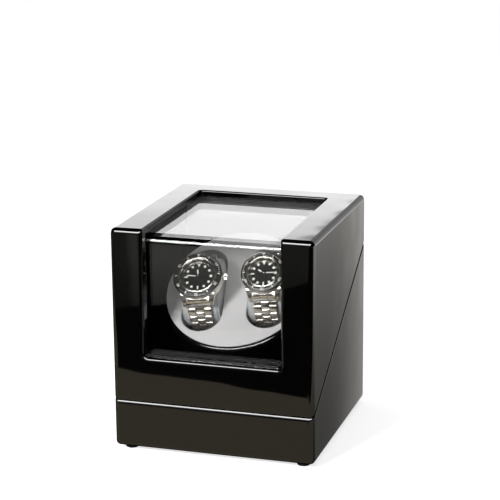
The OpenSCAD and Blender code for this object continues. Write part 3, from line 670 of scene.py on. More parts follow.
# %% Bent acrylic window
def bent_window():
    """The sheet's closed section, with edges eased by 0.4 mm, at both of its sides."""
    front, top, end, low, half, ease = -IN, PANE_Z, REAR_Y + 9, RAIL_Z - 8, 70.0, 0.4
    outer = np.concatenate([[[front, low + ease]], arc(front + BEND, top - BEND, BEND, 180, 90, 25),
                            [[end - ease, top]]])
    inner = np.concatenate([[[end - ease, top - PANE_T]],
                            arc(front + BEND, top - BEND, BEND - PANE_T, 90, 180, 25),
                            [[front + PANE_T, low + ease]]])
    loop = np.concatenate([outer, [[end, top - ease], [end, top - PANE_T + ease]], inner,
                           [[front + PANE_T - ease, low], [front + ease, low]]])
    n = len(loop)
    grid = np.stack([np.column_stack([np.full(n, x), loop]) for x in (-half, half)])
    faces = quads(2, n, False, True).tolist()
    faces += [list(range(n))[::-1], list(range(n, 2*n))]
    return grid.reshape(-1, 3), faces


verts, faces = bent_window()
window = piece("bent_acrylic_window", verts, faces, "lid", acrylic, "window", 30)
print("window", len(window.data.polygons), "faces")

# %% [markdown]
# ## Turntable
# The plate is one moulding: a disc with a rolled shoulder and a skirt, and two deep
# wells for the pillows. Booleans could cut the wells out of a disc. Instead skirt and
# hub are turned from profiles, each well is a profile swept round a slot, and the flat
# top is a filled curve with two holes, so that every rim stays soft and even.

# %% Slot rings
def slot_ring(w, length, n=40):
    """Points round a slot with round ends, w wide and length long, long along y."""
    r, h = w/2, (length - w)/2
    top = arc(0, h, r, 0, 180, n)
    return np.concatenate([top, arc(0, -h, r, 180, 360, n)])


def slot_sweep(profile, x, n=40):
    """A slot whose width and length grow with each profile step: every step is
    (growth, height), growth being added to both half sizes of the well's slot."""
    rings = []
    for grow, z in profile:
        ring = slot_ring(CUP_W + 2*grow, CUP_L + 2*grow, n)
        rings.append(np.column_stack([ring[:, 0] + x, ring[:, 1], np.full(len(ring), z)]))
    return np.stack(rings)


print("a well's mouth has", len(slot_ring(CUP_W, CUP_L)), "points")


# %% Soft corners
def rounded(points, r, n=5):
    """An open polyline with each inner corner replaced by a curve through n points:
    p(t) = (1-t)^2 a + 2t(1-t) corner + t^2 b. Points a and b lie r before and after the
    corner, or less where a side is short."""
    pts = [np.asarray(p, float) for p in points]
    out = [pts[0]]
    for before, corner, after in zip(pts, pts[1:], pts[2:]):
        da, db = before - corner, after - corner
        la, lb = np.linalg.norm(da), np.linalg.norm(db)
        cut = min(r, 0.45*la, 0.45*lb)
        a, b = corner + da/la*cut, corner + db/lb*cut
        t = np.linspace(0, 1, n)[:, None]
        out += list((1 - t)**2*a + 2*t*(1 - t)*corner + t**2*b)
    return np.array(out + [pts[-1]])


print("a square corner becomes", len(rounded([[0, 0], [1, 0], [1, 1]], 0.3)) - 2, "points")


# %% Round sheet with two slots
def plate_with_slots(name, radius, grow, z0, z1, edge, look, covers=()):
    """A round sheet with both wells' slots cut out, built as a filled flat curve and
    then given its thickness, so that its rim and slots have soft edges."""
    curve = bpy.data.curves.new(name, "CURVE")
    curve.dimensions, curve.fill_mode = "2D", "BOTH"
    curve.extrude = (z1 - z0)/2*MM - edge*MM
    curve.bevel_depth, curve.bevel_resolution = edge*MM, 3
    outlines = [arc(0, 0, radius - edge, 0, 360, 145)[:-1]]
    for s in (-1, 1):
        ring = slot_ring(CUP_W + 2*grow + 2*edge, CUP_L + 2*grow + 2*edge, 32)
        outlines.append(ring + [s*CUP_X, 0])
    for outline in outlines:
        spline = curve.splines.new("POLY")
        spline.points.add(len(outline) - 1)
        flat = np.column_stack([outline*MM, np.zeros(len(outline)), np.ones(len(outline))])
        spline.points.foreach_set("co", flat.ravel())
        spline.use_cyclic_u = True
    holder = bpy.data.objects.new(name + "_curve", curve)
    bpy.context.scene.collection.objects.link(holder)
    bpy.context.view_layer.update()
    deps = bpy.context.evaluated_depsgraph_get()
    raw = bpy.data.meshes.new_from_object(holder.evaluated_get(deps))
    bpy.data.objects.remove(holder)
    co = np.empty(len(raw.vertices)*3)
    raw.vertices.foreach_get("co", co)
    co = co.reshape(-1, 3)/MM + [0, 0, (z0 + z1)/2]
    faces = [tuple(p.vertices) for p in raw.polygons]
    return piece(name, on_disc(co), faces, "turntable", look, covers, 40)


print("slots at x =", (-CUP_X, CUP_X), "mm, long along y")

# %% Moulded turntable plate
TOP, UNDER, SKIRT_Z, SKIRT_T, SHOULDER = -1.6, -4.4, -22.0, 1.6, 3.2
WELL_IN, WELL_OUT, FLOOR_TOP, FLOOR_UNDER = 1.25, 2.8, -43.2, -44.8
MIDDLE = -CUP_W/2 + 0.01                                   # where a well's floor closes
skirt = np.concatenate([[[58, TOP]],
                        arc(RIM_R - SHOULDER, TOP - SHOULDER, SHOULDER, 90, 0, 14),
                        rounded([[RIM_R, -5.2], [RIM_R, SKIRT_Z], [RIM_R - SKIRT_T, SKIRT_Z],
                                 [RIM_R - SKIRT_T, UNDER], [58, UNDER]], 0.4)])
inside = rounded([[WELL_IN, -1.9], [WELL_IN, FLOOR_TOP], [-12, FLOOR_TOP]], 2.0)
outside = rounded([[-12, FLOOR_UNDER], [WELL_OUT, FLOOR_UNDER], [WELL_OUT, -4.0]], 2.0)
well = np.concatenate([[[MIDDLE, FLOOR_TOP]], inside[::-1][1:], [[WELL_OUT, -1.9]],
                       outside[::-1][:-1], [[MIDDLE, FLOOR_UNDER]]])
hub = rounded([[0.01, -4.2], [7.8, -4.2], [7.8, -45.2], [4.05, -45.2], [4.05, -29],
               [0.01, -29]], 0.5)
grids = [(on_disc(revolve(skirt, 160)), True, True)]
grids += [(on_disc(slot_sweep(well, s*CUP_X)), False, True) for s in (-1, 1)]
grids.append((on_disc(revolve(hub, 64)), False, True))
verts, faces = shell(grids)
rim = piece("moulded_turntable", verts, faces, "turntable", gloss_abs,
            ["turntable_plate", "cup_wells"], 32)
plate_with_slots("turntable_top", 62.0, WELL_IN, UNDER, TOP, 0.2, gloss_abs,
                 "turntable_plate")
print("turntable", len(rim.data.polygons), "faces")

# %% [markdown]
# ## Velvet face and well liners
# The velvet is glued to a thin round board and to two vacuum-formed liners. The board
# lies on the plate's top, inside the moulded rim, and its edge is softer, 0.7 mm, where
# the cloth folds over. The liners are swept like the wells, and lie just inside them.

# %% Velvet on the turntable and in its wells
pad = plate_with_slots("velvet_face", PAD_R, 0.0, -1.55, 0.05, 0.7, grey_velvet,
                       "velvet_pad")
lining = np.concatenate([rounded([[0.0, TOP], [0.0, -42.0], [MIDDLE, -42.0]], 3.0, 7),
                         rounded([[MIDDLE, -43.1], [1.15, -43.1], [1.15, TOP]], 3.0, 7)])
verts, faces = shell([(on_disc(slot_sweep(lining, s*CUP_X)), False, True) for s in (-1, 1)])
cups = piece("velvet_cups", verts, faces, "turntable", grey_velvet, "cup_liners", 45)
print("velvet face", len(pad.data.polygons), "liners", len(cups.data.polygons), "faces")

# %% [markdown]
# ## Flocked boards
# A grey board closes the lid's back, and a black one with a round opening hides the
# drive. Both are thin board with flock glued on. The back board is a plain slab whose
# edges are rounded by 0.5 mm. The deck's opening could be cut with a boolean, but two
# rings of points, one on the opening and one on the square outline, give cleaner faces.

# %% Board behind the watches
def soft_board(name, corners, thick, normal, edge, body, look, covers):
    """A flat board through four corners with rounded edges, thick mm against normal."""
    c = np.asarray(corners, float)
    down = -np.asarray(normal, float)*thick
    verts = np.concatenate([c, c + down])
    faces = [(0, 1, 2, 3), (7, 6, 5, 4)]
    faces += [(i, (i + 1) % 4, (i + 1) % 4 + 4, i + 4) for i in range(4)]
    board = piece(name, verts, faces, body, look, covers, 30)
    bevel = board.modifiers.new("edge", "BEVEL")
    bevel.width, bevel.segments, bevel.limit_method = edge*MM, 3, "ANGLE"
    bevel.harden_normals = True
    return board


liner_low = SPLIT_BACK - 11*math.tan(SLOPE) + 2.5
back_board = soft_board("velvet_back_board",
                        [[-IN + .4, IN - 1.6, liner_low], [IN - .4, IN - 1.6, liner_low],
                         [IN - .4, IN - 1.6, PANE_Z - .2], [-IN + .4, IN - 1.6, PANE_Z - .2]],
                        1.6, (0, -1, 0), 0.5, "lid", grey_velvet, "back_liner")
print(back_board.name, "from z", round(liner_low, 1), "to", PANE_Z - .2, "mm")


# %% Deck with its round opening
def flocked_deck():
    """The deck under the turntable: a sloping board with a round opening, whose rim
    is where the turntable's cylinder meets the board. For an angle a round the axis,
    a point on that cylinder is moved along the axis until it lies on the board."""
    normal = np.array([0, -np.sin(SLOPE), np.cos(SLOPE)])
    axis = np.array([0, -np.sin(TILT), np.cos(TILT)])
    a = np.linspace(0, 2*np.pi, 128, endpoint=False)
    around = np.stack([np.cos(a), np.sin(a)*np.cos(TILT), np.sin(a)*np.sin(TILT)], -1)
    mouth = DISC + DECK_HOLE*around
    side = IN - 0.2
    rings = []
    for off in (DECK_DOWN, DECK_DOWN + DECK_T):
        base_point = np.array([0, CASE_D/2, SPLIT_BACK]) - normal*off
        t = ((base_point - mouth) @ normal)/(axis @ normal)
        inner = mouth + t[:, None]*axis
        far = np.stack([np.cos(a), np.sin(a)], -1)
        far = far/np.abs(far).max(1, keepdims=True)*side
        z = base_point[2] + (far[:, 1] - base_point[1])*math.tan(SLOPE)
        outer = np.column_stack([far, z])
        rings += [inner, outer] if off == DECK_DOWN else [outer, inner]
    verts, faces = shell([(np.stack(rings), True, True)])
    return piece("flocked_deck", verts, faces, "base", black_flock, "deck_panel", 30)


deck = flocked_deck()

# %% [markdown]
# ## Pillow blank
# A foam pillow in velvet fills the space inside each bracelet. Seen from the side it is
# a stadium, two half circles joined by straight runs, and its edges are soft. The blank
# is that stadium on a grid, ring by ring across the width, ready to be filled.

# %% Stadium and blank
def stadium(r, n=96, straight=CORE_S):
    """n points round a stadium in the y-z plane, two half circles of radius r joined by
    straight runs, and the outward direction of each point."""
    run = straight/(2*straight + 2*np.pi*r)
    q = np.linspace(0, 1, n, endpoint=False)
    bend = 0.5 - run
    y, z, a = np.empty(n), np.empty(n), np.empty(n)
    first = q < run
    y[first], z[first], a[first] = straight/2 - straight*q[first]/run, r, np.pi/2
    second = (q >= run) & (q < 0.5)
    a[second] = np.pi/2 + np.pi*(q[second] - run)/bend
    y[second], z[second] = -straight/2 + r*np.cos(a[second]), r*np.sin(a[second])
    third = (q >= 0.5) & (q < 0.5 + run)
    y[third], z[third], a[third] = -straight/2 + straight*(q[third] - 0.5)/run, -r, -np.pi/2
    last = q >= 0.5 + run
    a[last] = -np.pi/2 + np.pi*(q[last] - 0.5 - run)/bend
    y[last], z[last] = straight/2 + r*np.cos(a[last]), r*np.sin(a[last])
    return np.column_stack([y, z]), np.column_stack([np.cos(a), np.sin(a)])


def pillow_points():
    """The pillow as rings: across its width the radius follows a rounded edge, then
    the side closes in to the middle. Each ring is the stadium offset inwards by d."""
    half, soft = CUSH_W/2, 4.0
    across = [(x, 0.0) for x in np.linspace(0, half - soft, 9)[1:-1]]
    side = [(half, -d) for d in (7.0, 10.5, 14.0, 17.0, 19.5, 21.9)]
    one_half = np.concatenate([across, arc(half - soft, -soft, soft, 90, 0, 7), side])
    profile = np.concatenate([(one_half*[-1, 1])[::-1], [[0, 0]], one_half])
    ring, out = stadium(CORE_R)
    x = np.repeat(profile[:, None, 0], len(ring), 1)
    y = ring[None, :, 0] + out[None, :, 0]*profile[:, None, 1]
    z = ring[None, :, 1] + out[None, :, 1]*profile[:, None, 1]
    return np.stack([x, y, z], -1)


def stadium_depth(p):
    """How far a point lies from the stadium's middle line, and its way outwards."""
    y = p[:, 1] - np.clip(p[:, 1], -CORE_S/2, CORE_S/2)
    d = np.hypot(y, p[:, 2])
    return d, np.column_stack([y, p[:, 2]])/np.maximum(d, 1e-6)[:, None]


print("pillow blank", pillow_points().shape[:2], "rings and points")

# %% [markdown]
# ## Filling the pillow
# Real pillows bulge because foam pushes the cover out until its seams hold it. A
# formula alone gives a bulge that is too even, so Blender's cloth is run under
# pressure for a few frames, and its result is kept close to the solid.

# %% Cloth under pressure
def simulate(points, faces, pressure=3.0, frames=14):
    """Swells a closed mesh with Blender's cloth under pressure and no gravity, and
    returns its points after the given number of frames."""
    mesh = bpy.data.meshes.new("swelling")
    mesh.from_pydata((points*MM).tolist(), [], faces)
    thing = bpy.data.objects.new("swelling", mesh)
    bpy.context.scene.collection.objects.link(thing)
    cloth = thing.modifiers.new("cloth", "CLOTH")
    cloth.settings.use_pressure = True
    cloth.settings.uniform_pressure_force = pressure
    cloth.settings.effector_weights.gravity = 0.0
    cloth.settings.mass, cloth.settings.quality = 0.15, 6
    cloth.settings.tension_stiffness = cloth.settings.compression_stiffness = 12
    cloth.settings.bending_stiffness = 0.3
    cloth.point_cache.frame_end = frames
    for f in range(1, frames + 1):
        bpy.context.scene.frame_set(f)
    deps = bpy.context.evaluated_depsgraph_get()
    out = np.array([v.co for v in thing.evaluated_get(deps).data.vertices])/MM
    bpy.context.scene.frame_set(1)
    bpy.data.objects.remove(thing)
    bpy.data.meshes.remove(mesh)
    return out


print("a pillow's skin lies", CORE_R, "mm from its middle line")


# %% Pillow pressed in by its bracelet
def smooth_step(a, b, x):
    """0 up to a, 1 from b on, and t^2 (3 - 2 t) between, where t = (x - a)/(b - a)."""
    t = np.clip((x - a)/(b - a), 0, 1)
    return t*t*(3 - 2*t)


def pillow(side):
    """The blank, slimmed by 3 %, is filled by the simulation, which may move it 2.4 mm.
    Its sides then bulge by up to 0.9 mm towards the middle, the depth under the bracelet
    is held 0.25 mm below the core's radius, and beside it the cloth gathers in folds of
    0.175 sin(11 angle + 0.4 x)."""
    slim = pillow_points()*[0.97, 1, 1]
    verts, faces = shell([(slim, False, True)])
    ring, n = slim.shape[1], len(verts)
    faces = faces.tolist() + [list(range(ring)), list(range(n - ring, n))]
    swollen = simulate(verts, faces[:-2])
    move = swollen - verts
    size = np.linalg.norm(move, axis=1)
    swollen = verts + move*np.minimum(1, 2.4/np.maximum(size, 1e-6))[:, None]
    swollen[:, 0] += np.sign(verts[:, 0])*0.9*smooth_step(0, 22, CORE_R - stadium_depth(verts)[0])
    depth, out = stadium_depth(swollen)
    x = np.abs(swollen[:, 0])
    strap = 1 - smooth_step(9.4, 12.6, x)
    bump = 0.35*np.sin(np.arctan2(out[:, 1], out[:, 0])*11 + x*0.4)*smooth_step(9.5, 12, x)
    wanted = np.minimum(depth, CORE_R + 0.9*(1 - strap) - 0.25*strap) + 0.5*bump*(1 - strap)
    wanted = np.minimum(wanted, CORE_R + 0.95)
    swollen[:, 1:] += out*(wanted - depth)[:, None]
    swollen[:, 0] = np.clip(swollen[:, 0], -CUSH_W/2 - 0.5, CUSH_W/2 + 0.5)
    stuffed = piece(f"velvet_pillow_{side}", on_loop(swollen, side), faces, f"watch_{side}",
                    pillow_velvet, f"cushion_{side}", 60)
    finer = stuffed.modifiers.new("finer", "SUBSURF")
    finer.levels = finer.render_levels = 1
    return stuffed


print("grip at x = 8, 11 and 14 mm:", 1 - smooth_step(9.4, 12.6, np.array([8.0, 11.0, 14.0])))

# %% [markdown]
# ## Piping and runners
# A cord sewn into each side seam keeps the pillow in shape, and two covered runners
# under it stand on the floor of the well, so that the clasp hangs free between them.

# %% Piping and runners
def piping(side):
    """A sewn cord of radius r round each side of the pillow, 1 mm in from its side and
    1.7 mm under its skin: ring - 1.7 out + r (cos a out, sin a across)."""
    ring, out = stadium(CORE_R, 120)
    a = np.linspace(0, 2*np.pi, 8, endpoint=False)
    r, centre = 0.65, ring - out*1.7
    y_z = centre[:, None, :] + r*np.cos(a)[None, :, None]*out[:, None, :]
    grids = []
    for s in (-1, 1):
        x = s*(CUSH_W/2 - 1.0) + r*np.sin(a)[None, :] + np.zeros((len(ring), 1))
        grids.append((on_loop(np.concatenate([x[..., None], y_z], -1), side), True, True))
    verts, faces = shell(grids)
    return piece(f"pillow_piping_{side}", verts, faces, f"watch_{side}", pillow_velvet,
                 f"cushion_{side}", 60)


def runners(side):
    """Two velvet-covered runners under the pillow, with room for the clasp between."""
    grids = []
    for t in (-1, 1):
        x0 = SIDE[side]*CUP_X + t*(CUSH_W/2 - 2.9)
        ring = slot_ring(4.6, 47.5, 10)
        rows = [np.column_stack([ring[:, 0]*(1 - g/3) + x0, ring[:, 1]*(1 - g/24),
                                 np.full(len(ring), z)])
                for g, z in ((0.5, -41.9), (0.0, -41.5), (0.0, -30.0), (0.5, -29.5))]
        grids.append((on_disc(bar(np.stack(rows))), False, True))
    verts, faces = shell(grids)
    return piece(f"pillow_runners_{side}", verts, faces, f"watch_{side}", pillow_velvet,
                 f"cushion_{side}", 40)


for side in SIDE:
    stuffed = pillow(side)
    piping(side)
    runners(side)
    print(stuffed.name, len(stuffed.data.polygons), "faces")

# %% [markdown]
# ## Watch cases
# A dive watch's case is milled from a bar: a round middle that holds movement and
# crystal, with four lugs curving down to the bracelet. Each watch is drawn in its own
# frame: the origin is the middle of its back, z comes out of the dial and y points to
# twelve. R is the radius of its bezel. The middle is turned, and each pair of lugs is
# one bar lofted along y, so the lugs run into the middle without a seam.

# %% Watch case
def lug_bar(R, s):
    """One flank of the case as a loft along y. From above its outside is the round
    middle, x = sqrt((R - 0.6)^2 - y^2), blended into the lug's own line, which tapers
    from 17.4 to 13.4, by the soft maximum log(exp(1.6 a) + exp(1.6 b))/1.6. Each section
    is a rounded rectangle, and the top and bottom curve down to the lug tips."""
    y = np.linspace(-(R + 2.4), R + 2.4, 61)
    a = np.abs(y)
    ring = np.sqrt(np.maximum((R - 0.6)**2 - y**2, 0))
    lug = 17.4 - 4.0*np.clip((a - 6)/(R - 3.6), 0, 1)**1.2
    x1 = np.log(np.exp(ring*1.6) + np.exp(lug*1.6))/1.6
    x0 = np.maximum(np.sqrt(np.maximum((R - 5.2)**2 - y**2, 0)), 10.45)
    down = np.clip((a - (R - 6))/8.4, 0, 1)
    top = 8.3 - 6.5*down**1.55
    low = 0.7 - 2.3*np.clip((a - (R - 7))/9.4, 0, 1)**1.5
    tip = smooth_step(R + 2.4, R + 1.2, a)
    mid_z, half_z = (top + low)/2, (top - low)/2*(0.72 + 0.28*tip)
    mid_x, half_x = (x0 + x1)/2, (x1 - x0)/2
    t = np.radians(np.concatenate([np.linspace(k*90, k*90 + 90, 6) for k in range(4)]))
    cx, cz = np.repeat([1, -1, -1, 1], 6), np.repeat([1, 1, -1, -1], 6)
    rx, rz = [np.minimum(0.75, half*0.8)[:, None] for half in (half_x, half_z)]
    x = mid_x[:, None] + cx*(half_x[:, None] - rx) + rx*np.cos(t)
    z = mid_z[:, None] + cz*(half_z[:, None] - rz) + rz*np.sin(t)
    section = np.stack([s*x, np.repeat(y[:, None], x.shape[1], 1), z], -1)
    return bar(section)


def watch_case(side):
    """The turned middle, from the back's centre round to the dial's seat, and both flanks."""
    R = BEZEL_R[side]
    back = rounded([[0.01, 0.0], [R - 5, 0.0], [R - 4.6, 0.6], [R - 1.3, 0.7], [R - 0.8, 1.6],
                    [R - 0.8, 8.0], [R - 1.3, 8.55], [R - 5.4, 8.6], [R - 5.4, 11.7],
                    [R - 5.7, 12.0], [R - 6.2, 12.0], [R - 6.42, 11.7], [R - 7.3, 8.05],
                    [0.01, 7.6]], 0.3, 4)
    grids = [(on_head(revolve(back, 120), side), True, False)]
    grids += [(on_head(lug_bar(R, s), side), False, True) for s in (-1, 1)]
    verts, faces = shell(grids)
    return piece(f"steel_case_{side}", verts, faces, f"watch_{side}", brushed_steel,
                 f"case_{side}", 38)


print("lug bar", lug_bar(22.0, 1).shape[:2], "rings and points")

# %% [markdown]
# ## Turning bezels
# A bezel's grip is milled: a cutter leaves a row of even scallops, which fade towards
# the ring's top and bottom. Cutting 120 notches with booleans would be slow and leave
# slivers. The ring is turned instead, and its radius is made a wave of the angle.

# %% Turning bezel with its milled edge
def bezel(side, teeth, depth):
    """The ring's outside radius is cut by a wave of so many teeth, deepest at mid
    height: r = R - depth (0.5 - 0.5 cos(teeth * angle))^0.7 w(z)."""
    R = BEZEL_R[side]
    profile = np.concatenate([[[R - 5.33, 8.78], [R - 1.2, 8.78]],
                              arc(R - 0.45, 9.2, 0.45, -90, 0, 4),
                              [[R, 9.6], [R, 10.0], [R, 10.4]],
                              arc(R - 0.5, 10.5, 0.5, 10, 60, 4),
                              rounded([[R - 0.9, 11.25], [R - 1.25, 11.75], [R - 1.36, 11.4],
                                       [R - 4.84, 11.4], [R - 4.9, 11.8], [R - 5.2, 11.8],
                                       [R - 5.33, 11.5]], 0.08, 3)])
    z = profile[:, 1]
    w = np.where(profile[:, 0] > R - 1.0, smooth_step(8.9, 9.3, z)*smooth_step(11.2, 10.5, z), 0.0)
    saw = lambda a, p: -depth*(0.5 - 0.5*np.cos(teeth*a))**0.7*w[None, :]
    grid = revolve(profile, teeth*6, saw)
    verts, faces = shell([(on_head(grid, side), True, True)])
    return piece(f"milled_bezel_{side}", verts, faces, f"bezel_{side}", polished_steel,
                 f"bezel_{side}", 50)


print("bezels are", {side: 2*R for side, R in BEZEL_R.items()}, "mm across")

# %% [markdown]
# ## Numbers and marks
# Printed and raised marks are thin solids. A flat outline given a thickness is enough
# for bars, dots and triangles, and Blender's own text gives the numbers' outlines.

# %% Flat outlines made solid
def letters(text, size, x, y, turn, z, deep):
    """A number as a thin solid: its curve is made a mesh, then turned and placed."""
    curve = bpy.data.curves.new("number", "FONT")
    curve.body, curve.size, curve.extrude = text, size, deep/2
    curve.align_x, curve.align_y, curve.resolution_u = "CENTER", "CENTER", 3
    holder = bpy.data.objects.new("number", curve)
    bpy.context.scene.collection.objects.link(holder)
    bpy.context.view_layer.update()
    deps = bpy.context.evaluated_depsgraph_get()
    raw = bpy.data.meshes.new_from_object(holder.evaluated_get(deps))
    bpy.data.objects.remove(holder)
    co = np.array([v.co for v in raw.vertices])
    return turn_z(co, turn) + [x, y, z], [list(p.vertices) for p in raw.polygons]


def join(parts):
    """Joins (vertices, faces) pairs into one."""
    verts, faces, n = [], [], 0
    for v, f in parts:
        verts.append(np.asarray(v).reshape(-1, 3))
        faces += [[int(i) + n for i in face] for face in f]
        n += len(verts[-1])
    return np.concatenate(verts), faces


def prism(outline, z0, z1):
    """A flat outline given thickness, with top and bottom as single faces."""
    o = np.asarray(outline, float)
    n = len(o)
    v = np.concatenate([np.column_stack([o, np.full(n, z)]) for z in (z0, z1)])
    f = [list(range(n))[::-1], list(range(n, 2*n))]
    f += [[i, (i + 1) % n, n + (i + 1) % n, n + i] for i in range(n)]
    return v, f


def turned(outline, degrees):
    """An outline turned clockwise about the dial's middle, as a clock hand is."""
    c, s = math.cos(-math.radians(degrees)), math.sin(-math.radians(degrees))
    x, y = np.asarray(outline, float).T
    return np.column_stack([x*c - y*s, x*s + y*c])


def box_outline(w, y0, y1):
    """A rectangle w wide about the y axis, from y0 to y1."""
    return np.array([[-w/2, y0], [w/2, y0], [w/2, y1], [-w/2, y1]])


print("a dot is a prism of", len(prism(arc(0, 0, 1, 0, 345, 24), 0, 1)[1]), "faces")

# %% [markdown]
# ## Bezel scale
# The insert is an anodised ring, pressed into the bezel and sloping outwards, with a
# minute scale. The scale could be a texture, but small solid marks stay crisp at any
# distance. They are laid out flat and then lowered on to the cone.

# %% Bezel ring with its scale
def insert(side, every_minute):
    """A black ring that falls by 0.14 mm in each millimetre outwards, and on it a scale
    whose marks are moved down to lie on that cone. Single minutes are marked up to 15,
    or all the way round."""
    R = BEZEL_R[side]
    ring = rounded([[R - 4.82, 11.42], [R - 4.82, 12.0], [R - 4.6, 12.08], [R - 1.6, 11.66],
                    [R - 1.38, 11.6], [R - 1.38, 11.42]], 0.1, 3)
    verts, faces = shell([(on_head(revolve(ring, 120), side), True, True)])
    piece(f"anodised_ring_{side}", verts, faces, f"bezel_{side}", anodised, f"insert_{side}",
          35)
    marks, z = [], 11.96
    for minute in range(60):
        if minute == 0:
            shape = np.array([[-1.5, R - 1.75], [0, R - 4.4], [1.5, R - 1.75]])
        elif minute % 10 == 0:
            continue
        elif minute % 5 == 0:
            shape = box_outline(0.75, R - 4.0, R - 1.9)
        elif minute < 15 or every_minute:
            shape = box_outline(0.32, R - 3.1, R - 1.9)
        else:
            continue
        marks.append(prism(turned(shape, minute*6), z, z + 0.06))
    for tens in range(1, 6):
        a = math.radians(-tens*60)
        marks.append(letters(str(tens*10), 3.3, -math.sin(a)*(R - 3.1),
                             math.cos(a)*(R - 3.1), a, z + 0.03, 0.07))
    v, f = join(marks)
    v[:, 2] += 0.11 - 0.14*(np.hypot(v[:, 0], v[:, 1]) - (R - 4.6))
    return piece(f"ring_scale_{side}", on_head(v, side), f, f"bezel_{side}", lume,
                 f"insert_{side}", 30)


print("the insert falls by", round(0.14*3.0, 2), "mm across its 3 mm")

# %% [markdown]
# ## Dials and crystals
# A dial is a thin lacquered disc. A black flange rises from it to the crystal, with a
# thin polished ring at its foot. The markers are paint in raised metal surrounds, so
# each is a prism with a second prism round it that is a little wider and lower.

# %% Dial with raised markers
def dial(side):
    """Disc, flange, ring, twelve markers (triangle at 12, bars at 3, 6 and 9, dots at
    the rest), the minute track and the post that carries the hands."""
    R = BEZEL_R[side]
    face = rounded([[0.5, 7.3], [R - 6.5, 7.3], [R - 6.5, 7.98], [R - 6.8, 8.0], [0.5, 8.0]], 0.05, 3)
    verts, faces = shell([(on_head(revolve(face, 96), side), True, True)])
    piece(f"lacquered_dial_{side}", verts, faces, f"watch_{side}", dial_lacquer, f"dial_{side}",
          35)
    for name, look, (r0, r1, top) in (("dial_flange", dial_lacquer, (R - 7.75, R - 6.62, 10.4)),
                                      ("dial_ring", polished_steel, (R - 8.2, R - 7.7, 8.9))):
        section = np.array([[r0, 8.02], [r1 - 0.07, top], [r1, top], [r1, 8.02]])
        verts, faces = shell([(on_head(revolve(section, 120), side), True, True)])
        piece(f"{name}_{side}", verts, faces, f"watch_{side}", look,
              f"dial_{side}", 35)
    q = R*0.5
    paint, rims = [], []
    for hour in range(12):
        turn = hour*30
        if hour == 0:
            inner, outer = [np.array([[-k, q + 1.5 + e], [0, q - 1.9 - 2*e], [k, q + 1.5 + e]])
                            for k, e in ((1.5, 0.0), (1.9, 0.2))]
        elif hour == 3:
            inner, outer = [box_outline(w, q - 0.9 - e, q + 1.3 + e)
                            for w, e in ((2.2, 0), (2.7, 0.25))]
        elif hour % 3 == 0:
            inner, outer = [box_outline(w, q - 1.7 - e, q + 1.3 + e)
                            for w, e in ((1.25, 0), (1.65, 0.2))]
        else:
            inner, outer = [arc(0, q, r, 0, 345, 24) for r in (1.15, 1.42)]
        paint.append(prism(turned(inner, turn), 8.0, 8.27))
        rims.append(prism(turned(outer, turn), 8.0, 8.19))
    for minute in range(60):
        if minute % 5:
            rims.append(prism(turned(box_outline(0.18, R - 9.3, R - 8.4), minute*6), 8.0, 8.03))
    v, f = join(paint)
    piece(f"dial_markers_{side}", on_head(v, side), f, f"watch_{side}", lume, f"dial_{side}",
          30)
    v, f = join(rims)
    piece(f"marker_surrounds_{side}", on_head(v, side), f, f"watch_{side}", polished_steel,
          f"dial_{side}", 30)
    post = revolve(rounded([[0.01, 7.4], [0.42, 7.4], [0.42, 9.9], [0.01, 9.95]], 0.08, 3), 24)
    verts, faces = shell([(on_head(post, side), True, False)])
    return piece(f"hand_post_{side}", verts, faces, f"watch_{side}", polished_steel,
                 f"dial_{side}", 40)


def crystal(side):
    """A sapphire disc, 0.25 mm domed: z = 12.25 + 0.25 (1 - (r/r0)^2), edge bevelled."""
    R = BEZEL_R[side] - 6.47
    r = np.linspace(0.01, R - 0.35, 8)
    top = np.column_stack([r, 12.25 + 0.25*(1 - (r/R)**2)])
    profile = np.concatenate([[[0.01, 10.65], [R - 0.1, 10.65], [R, 10.75], [R, 11.9]], top[::-1]])
    verts, faces = shell([(on_head(revolve(profile, 96), side), True, False)])
    return piece(f"sapphire_{side}", verts, faces, f"watch_{side}", sapphire, f"crystal_{side}",
                 30)


print("dial radii", {side: R - 6.5 for side, R in BEZEL_R.items()}, "mm")

# %% [markdown]
# ## Hands
# Hands are stamped from thin sheet: a ring round the post and a blade with a pointed
# end, and a strip of paint on it. Angles are clockwise from twelve, and agree
# with the solids, because each hand turns on its own joint.

# %% Hands
HANDS = {"left": {"hour": 353, "minute": 277, "second": 150},
         "right": {"hour": 307, "minute": 90, "second": 205}}


